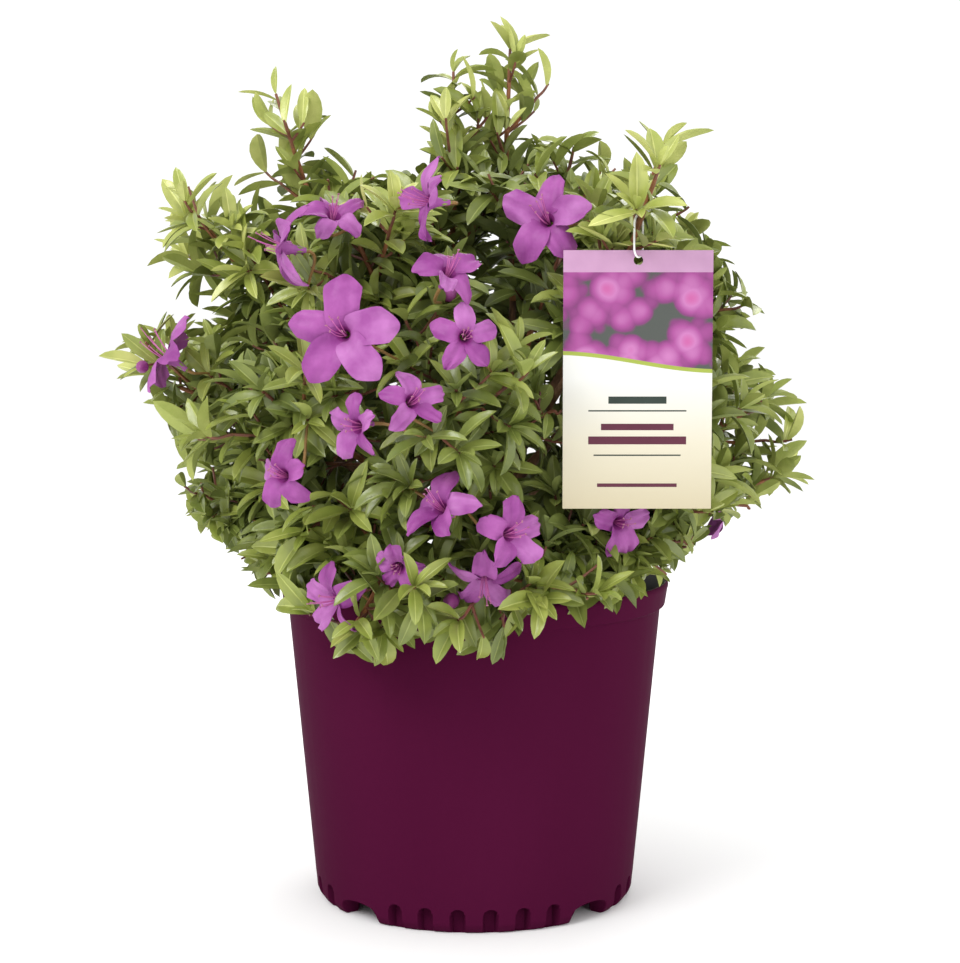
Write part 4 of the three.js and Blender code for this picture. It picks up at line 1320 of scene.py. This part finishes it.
def petal_finishes():
    """The finishes of the blooms: main, paler, throat (its deeper colour with painted shade down the tube),
    outside.
    """
    return [
        mottled("petal", (126, 50, 122), (156, 80, 150), 60, 0.5, 0.3, 0.3, 500),
        mottled("petal_pale", (142, 68, 138), (172, 104, 168), 60, 0.5, 0.3, 0.3, 500),
        # Darker than the lobes: partly the throat's own deeper colour, partly painted shade down the tube.
        mottled("petal_throat_deep_and_painted_shade", (126, 42, 116), (142, 58, 132), 200, 0.55, 0.2, 0.2, 500),
        mottled("petal_outside", (142, 66, 138), (162, 92, 158), 60, 0.6, 0.2, 0.3, 500),
    ]


def lobe_profile(v, size, bend):
    """Distance from the bloom's axis, rise above its rim's plane, and share along the open lobe."""
    throat_end = 0.3
    tube_share = np.clip(v / throat_end, 0, 1)
    limb = np.clip((v - throat_end) / (1 - throat_end), 0, 1)
    radius = 1.1 + 1.3 * tube_share + 1.3 * tube_share**3
    height = -bloom_tube_length + (bloom_tube_length - 3.5) * tube_share
    control = [(0, 0), (0.05, 0.11), (0.25, 0.17 + 0.4 * bend), (0.46 - 0.3 * abs(bend), 0.05 + bend)]
    rest = 1 - limb
    shares = [rest**3, 3 * rest * rest * limb, 3 * rest * limb * limb, limb**3]
    radius = radius + size * sum(share * point[0] for share, point in zip(shares, control))
    height = height + size * sum(share * point[1] for share, point in zip(shares, control))
    return radius, height, limb


def lobe_points(bloom, lobe, random, u, v):
    """The front of one lobe as a grid of points: spoon-shaped, ruffled, and bent its own way."""
    across, over = bloom.sides()
    size = bloom.width * (0.96 + 0.16 * random()) * (1.06 if lobe == 0 else 1)
    bend = 0.46 * random() - 0.3
    phase, swirl = 6 * random(), 6 * random()
    tilt = 8 * (random() - 0.5)
    cup = 0.14 * size * (random() - 0.55)
    sway = math.radians(22 * (random() - 0.5))
    radius, height, limb = lobe_profile(v - 0.1 * u * u * v**4, size, bend)
    widening = 0.52 + 0.48 * np.sin(math.pi / 2 * np.clip(limb / 0.62, 0, 1))
    closing = np.sqrt(1 - np.clip((limb - 0.55) / 0.5, 0, 1) ** 2.6)
    span = (0.148 + 0.03 * random()) * size * widening * closing * (1 + 0.06 * np.sin(11 * limb + swirl))
    arc = math.pi / 5
    half = arc + (span / np.maximum(radius, 4) - arc) * soft_step(limb, 0.02, 0.3)
    turn = math.radians(90 + 72 * lobe) + u * half + sway * limb
    height = height + limb * (tilt * u + cup * u * u + 0.8 * np.cos(7 * u + phase))
    height = height - 1.3 * limb * np.exp(-(u / 0.22) ** 2) * (1 - 0.6 * limb)
    height = height + 2 * np.abs(u) ** 2.4 * limb * np.sin(8.5 * limb + swirl + 2.2 * np.sign(u))
    side = np.cos(turn)[..., None] * across + np.sin(turn)[..., None] * over
    return bloom.centre + side * radius[..., None] + bloom.facing * height[..., None]


def make_corolla(pile, bloom, random):
    """The five lobes of a bloom on its tube, each a closed strip."""
    rows, columns = 16, 11
    v = np.linspace(0, 1, rows)[:, None]
    u = np.linspace(-1, 1, columns)[None]
    count = rows * columns
    cell_v = np.repeat(np.arange((rows - 1) * (columns - 1)), 2) // (columns - 1)
    index = np.arange(count).reshape(rows, columns)
    border = np.concatenate([index[0], index[1:, -1], index[-1, -2::-1], index[-2:0:-1, 0]])
    following = np.roll(border, -1)
    rim = np.concatenate([np.stack([border, border + count, following + count], 1),
                          np.stack([border, following + count, following], 1)])
    faces = grid_faces(rows, columns)
    for lobe in range(5):
        # The rows nearest the tube take the throat's darker finish: a deeper colour with painted shade.
        slots = np.where(cell_v < throat_rows, 2, int(random() > 0.6))
        front = lobe_points(bloom, lobe, random, u, v)
        flow = np.cross(np.gradient(front, axis=1), np.gradient(front, axis=0))
        normal = flow / np.maximum(np.linalg.norm(flow, axis=-1, keepdims=True), 1e-9)
        if (normal[-3, columns // 2] @ bloom.facing) < 0:
            normal = -normal
        back = front - normal * petal_thickness
        whole = np.concatenate([faces[:, ::-1], faces + count, rim])
        if np.cross(front[5, 1] - front[5, 0], front[6, 0] - front[5, 0]) @ normal[5, 0] > 0:
            whole = whole[:, ::-1]
        slots = np.concatenate([slots, np.full(len(faces), 3), np.zeros(len(rim), int)])
        pile.add(np.concatenate([front.reshape(-1, 3), back.reshape(-1, 3)]), whole, slots)


def make_stamens(pile, bloom, random):
    """The stamens and the longer pistil, which come out of the tube and curve up."""
    across, over = bloom.sides()
    start = bloom.base() + bloom.facing * 3
    for i in range(6):
        turn = 2 * math.pi * i / 6 + 0.4 * random()
        spread = 0.16 + 0.14 * random() if i else 0.05
        reach = bloom.width * (0.34 + 0.12 * random()) if i else bloom.width * 0.52
        side = across * math.cos(turn) + over * math.sin(turn)
        points = []
        for t in np.linspace(0, 1, 7):
            lift = over * (0.28 * reach * (t * t)) - over * 0.1 * reach * t
            points.append(start + bloom.facing * (reach * 1.25 * t) + side * spread * reach * t + lift)
        tube(pile, points, np.linspace(0.34, 0.22, 7), 4, 0)
        anther = [points[-1] + side * step for step in (-0.8, -0.4, 0.4, 0.8)]
        tube(pile, anther, [0.2, 0.45, 0.45, 0.2], 6, 1)


def bloom_seat(bloom, limbs):
    """The nearest place on a mass's limbs that a bloom can grow from without turning back."""
    base = bloom.base()
    seats = [nearest_on(base, joints).point for joints in limbs]
    seats = [p for p in seats if unit(base - p) @ bloom.facing > sharpest_stalk]
    return min(seats, key=lambda p: gap_between(p, base)) if seats else None


def make_stalk(pile, bloom, seat):
    """The stalk of a bloom from its seat on a twig, and the five sepals of its calyx."""
    base = bloom.base()
    reach = gap_between(seat, base)
    control = [seat, seat + (base - seat) * 0.4, base - bloom.facing * 0.4 * reach, base + bloom.facing]
    points = [bezier(control, t) for t in np.linspace(0, 1, 11)]
    tube(pile, points, np.linspace(*stalk_radii, len(points)), 6, 0)
    for k in range(5):
        sepal = out_from(Joint(base, bloom.facing), 2 * math.pi * k / 5, math.radians(sepal_opening))
        tube(pile, [base - bloom.facing, base + sepal * 3 + bloom.facing, base + sepal * 6],
             [0.9, 1.1, 0.2], 5, 1)


def make_blooms():
    """The blooms that have a twig to grow from, with their stalks and stamens."""
    corollas, stalks, stamens = Pile(), Pile(), Pile()
    for index, bloom in enumerate(blooms):
        random = random_from(300 + index * 19)
        limbs = [joints_through(twig.points, [1] * len(twig.points))
                 for twig in twigs if twig.mass is bloom.owner]
        seat = bloom_seat(bloom, limbs)
        if seat is None:
            continue
        make_corolla(corollas, bloom, random)
        make_stamens(stamens, bloom, random)
        make_stalk(stalks, bloom, seat)
    pedicel = mottled("pedicel", (120, 92, 52), (146, 112, 66), 200, 0.6, 0.3, 0.2, 700)
    sepal = mottled("sepal", (104, 124, 52), (128, 146, 66), 200, 0.6, 0.3, 0.2, 700)
    filament = mottled("filament", (176, 84, 148), (196, 110, 166), 200, 0.5, 0.3, 0.1, 700)
    anther = mottled("anther", (140, 84, 112), (164, 108, 132), 400, 0.7, 0.3, 0.2, 900)
    corollas.piece("petals", petal_finishes(), "foliage", foliage_nodes, 60)
    stalks.piece("flower_stalks", [pedicel, sepal], "foliage", foliage_nodes)
    stamens.piece("stamens", [filament, anther], "foliage", foliage_nodes)


def make_buds():
    """Unopened buds on the tips of some twigs near the surface."""
    random = random_from(611)
    pile = Pile()
    tips = [twig for twig in twigs if twig.order > 0 and twig.points[-1][2] < highest_bud
            and openness_of(twig.points[-1]) > bud_openness]
    for twig in tips[first_bud::bud_step]:
        point, tangent = twig.at(twig.length)
        direction = unit(tangent + 0.5 * heading(360 * random(), 0))
        length = 9 + 6 * random()
        shares = np.linspace(0, 1, 9)
        radii = 0.5 + 0.3 * length * np.sin(math.pi * shares**0.8) ** 0.8
        radii[-1] = 0.25
        start = point + direction * 3
        tube(pile, [start + direction * length * s for s in shares], radii, 10, 0)
        tube(pile, [point - direction, start, start + direction * 2], [0.8, 1.1, 1.9], 7, 1)
    bud = mottled("bud", (116, 44, 100), (140, 62, 126), 100, 0.5, 0.35, 0.2, 600)
    scale = mottled("bud_scale", (112, 96, 50), (138, 122, 66), 200, 0.6, 0.3, 0.2, 700)
    pile.piece("buds", [bud, scale], "foliage", foliage_nodes)


def tag_finishes():
    """The finishes of the card: picture, band, rule, cream, dark green, plum, edge."""
    picture = Finish("tag_picture", 0.4, 0.3)
    rounds = picture.node("TexVoronoi", {"Vector": picture.place, "Scale": 44, "Detail": 1.2,
                                         "Roughness": 0.45, "Randomness": 0.85})["Distance"]
    picture.colour(rounds, [(0.24, (176, 62, 128)), (0.54, (176, 108, 162)), (0.76, (150, 70, 134)),
                            (0.92, (118, 52, 106)), (1, (72, 76, 72))])
    cream = Finish("tag_cream", 0.4, 0.3)
    height = cream.node("SeparateXYZ", {"Vector": cream.place})["Z"]
    fall = cream.node("MapRange", {"Value": height, "From Min": tag_low[2] * metre,
                                   "From Max": (tag_high[2] - 70) * metre})["Result"]
    cream.colour(fall, [(0, (184, 174, 146)), (0.5, (200, 194, 174)), (1, (210, 210, 206))])
    plain = [("band", (176, 134, 168)), ("rule", (142, 156, 60)), ("green", (30, 44, 36)),
             ("plum", (76, 18, 42)), ("edge", (204, 202, 196))]
    band, rule, green, plum, edge = [
        mottled("tag_" + name, colour, lighter(colour, 6), 80, 0.35, 0.4, 0.02, 500)
        for name, colour in plain]
    return [picture.material, band, rule, cream.material, green, plum, edge]


def make_tag():
    """The hang tag: a card with a hole, and a plain print of a picture, a curved rule and bars."""
    picture, band, rule, cream, green, plum, edge = range(7)
    bars = [(80, 84, 16, green), (87.5, 88.3, 27, green), (95, 98.6, 20, plum), (102, 106.4, 27, plum),
            (112, 112.8, 24, green), (128, 130, 22, plum)]
    centre = (tag_low[0] + tag_high[0]) / 2
    half = (tag_high[0] - tag_low[0]) / 2
    top = tag_high[2]
    foot = top - tag_low[2]
    front, back = tag_low[1], tag_high[1]
    pile = Pile()

    def placed(x, below, y):
        return np.stack(np.broadcast_arrays(centre + x, y, top - below), -1)

    turns = [2 * math.pi * i / 32 for i in range(32)]
    turns += [math.atan2(z, x) % (2 * math.pi) for x in (-half, half)
              for z in (tag_hole_drop, tag_hole_drop - tag_head)]
    turns = np.array(sorted(turns))
    out_x, out_z = np.cos(turns), np.sin(turns)
    far = 1 / np.maximum(np.abs(out_x) / half,
                         np.maximum(out_z / tag_hole_drop, out_z / (tag_hole_drop - tag_head)))
    rings = [(out_x * reach, tag_hole_drop - out_z * reach) for reach in (tag_hole_radius, far)]
    ring = grid_faces(2, len(turns), True)
    for y, faces, slot in ((front, ring[:, ::-1], band), (back, ring, cream)):
        pile.add(np.array([placed(x, below, y) for x, below in rings]), faces, slot)
    pile.add(np.array([placed(*rings[0], y) for y in (front, back)]), ring, edge)

    x = np.unique(np.concatenate([np.linspace(-half, half, 33)] + [[-bar[2], bar[2]] for bar in bars]))
    curve = rule_drop + rule_wave * np.sin(x / half * 1.4)
    levels = [tag_head, curve, curve + rule_width, *sorted(value for bar in bars for value in bar[:2]), foot]
    middle_x = (x[1:] + x[:-1]) / 2
    for i, (upper, lower) in enumerate(zip(levels, levels[1:])):
        slot = np.full(len(middle_x), (picture, rule, cream)[min(i, 2)])
        for start, end, width, colour in bars:
            if i > 2 and start <= (upper + lower) / 2 <= end:
                slot[np.abs(middle_x) < width] = colour
        points = np.array([placed(x, upper, front), placed(x, lower, front)])
        pile.add(points, grid_faces(2, len(x)), np.repeat(slot, 2))
    corners = np.array([(-half, tag_head), (half, tag_head), (-half, foot), (half, foot)])
    pile.add(placed(*corners.T, back), [(0, 2, 1), (1, 2, 3)], cream)
    rim = np.array([(-half, 0), (-half, foot), (half, foot), (half, 0)])
    border = np.array([placed(*rim.T, y) for y in (front, back)])
    pile.add(border, grid_faces(2, 4, True)[:, ::-1], edge)
    pile.piece("hang_tag_card", tag_finishes(), "tag_card", ["hang_tag"], 30)


def make_loop():
    """The thin loop that the tag hangs by, through its hole and over the shoot."""
    nylon = mottled("loop_nylon", (240, 240, 238), (250, 250, 250), 100, 0.35, 0.5, 0.02, 500)
    half = loop_width / 2 - loop_radius
    turn = math.radians(loop_turn)
    side = np.array([math.cos(turn), math.sin(turn), 0])
    across = cross(side, up)
    centre = np.array([loop_seat.point[0], loop_seat.point[1], loop_foot + loop_width / 2])
    rings = []
    for i in range(loop_steps):
        a = 2 * math.pi * i / loop_steps
        rise = half * math.sin(a) + (loop_height - loop_width if math.sin(a) > 1e-4 else 0)
        out = side * math.cos(a) + up * math.sin(a)
        middle = centre + side * half * math.cos(a) + up * rise
        rings.append([middle + loop_radius * (out * math.cos(t) + across * math.sin(t))
                      for t in full_turn(loop_sides)])
    rings.append(rings[0])
    pile = Pile()
    pile.add(np.array(rings), grid_faces(loop_steps + 1, loop_sides, True)[:, ::-1])
    pile.piece("tag_loop_thread", [nylon], "tag_loop", ["tag_loop"])


def make_stage():
    """A plain pale floor and soft studio light."""
    scene = bpy.context.scene
    scene.view_settings.view_transform = "Standard"
    mesh = bpy.data.meshes.new("floor")
    size = floor_size
    mesh.from_pydata([(-size, -size, 0), (size, -size, 0), (size, size, 0), (-size, size, 0)], [],
                     [(0, 1, 2, 3)])
    finish = Finish("floor_white", 0.9, 0.1).shade({"Base Color": (0.94, 0.94, 0.94, 1)})
    mesh.materials.append(finish.material)
    floor = stood("floor", mesh)
    world = bpy.data.worlds.new("studio")
    world.use_nodes = True
    background = world.node_tree.nodes["Background"]
    background.inputs["Color"].default_value = (1, 1, 1, 1)
    background.inputs["Strength"].default_value = sky_strength
    scene.world = world
    for name, place, size, power in studio_lights:
        data = bpy.data.lights.new(name, "AREA")
        data.shape = "DISK"
        data.size = size
        data.energy = power
        light = stood(name, data)
        light.location = place
        aim = Vector(light_target) - Vector(place)
        light.rotation_euler = aim.to_track_quat("-Z", "Y").to_euler()


def make_camera():
    """The photograph's view, from in front of the pot and looking a little down."""
    data = bpy.data.cameras.new("camera")
    data.sensor_width = 36
    data.sensor_fit = "HORIZONTAL"
    data.lens = focal_pixels / picture_width * data.sensor_width
    camera = stood("camera", data)
    camera.location = np.array([camera_right, -eye_distance, eye_height]) * metre
    camera.rotation_euler = (math.radians(90 - tilt_down), 0, 0)
    bpy.context.scene.camera = camera


make_camera()
make_stage()
make_pot()
make_mix()
make_bark()
twigs += inner_twigs()
leaf_rows = grow_leaves()
twigs = cut_back(twigs, leaf_rows)
make_twigs()
make_leaves(leaf_rows)
make_blooms()
make_buds()
make_tag()
make_loop()
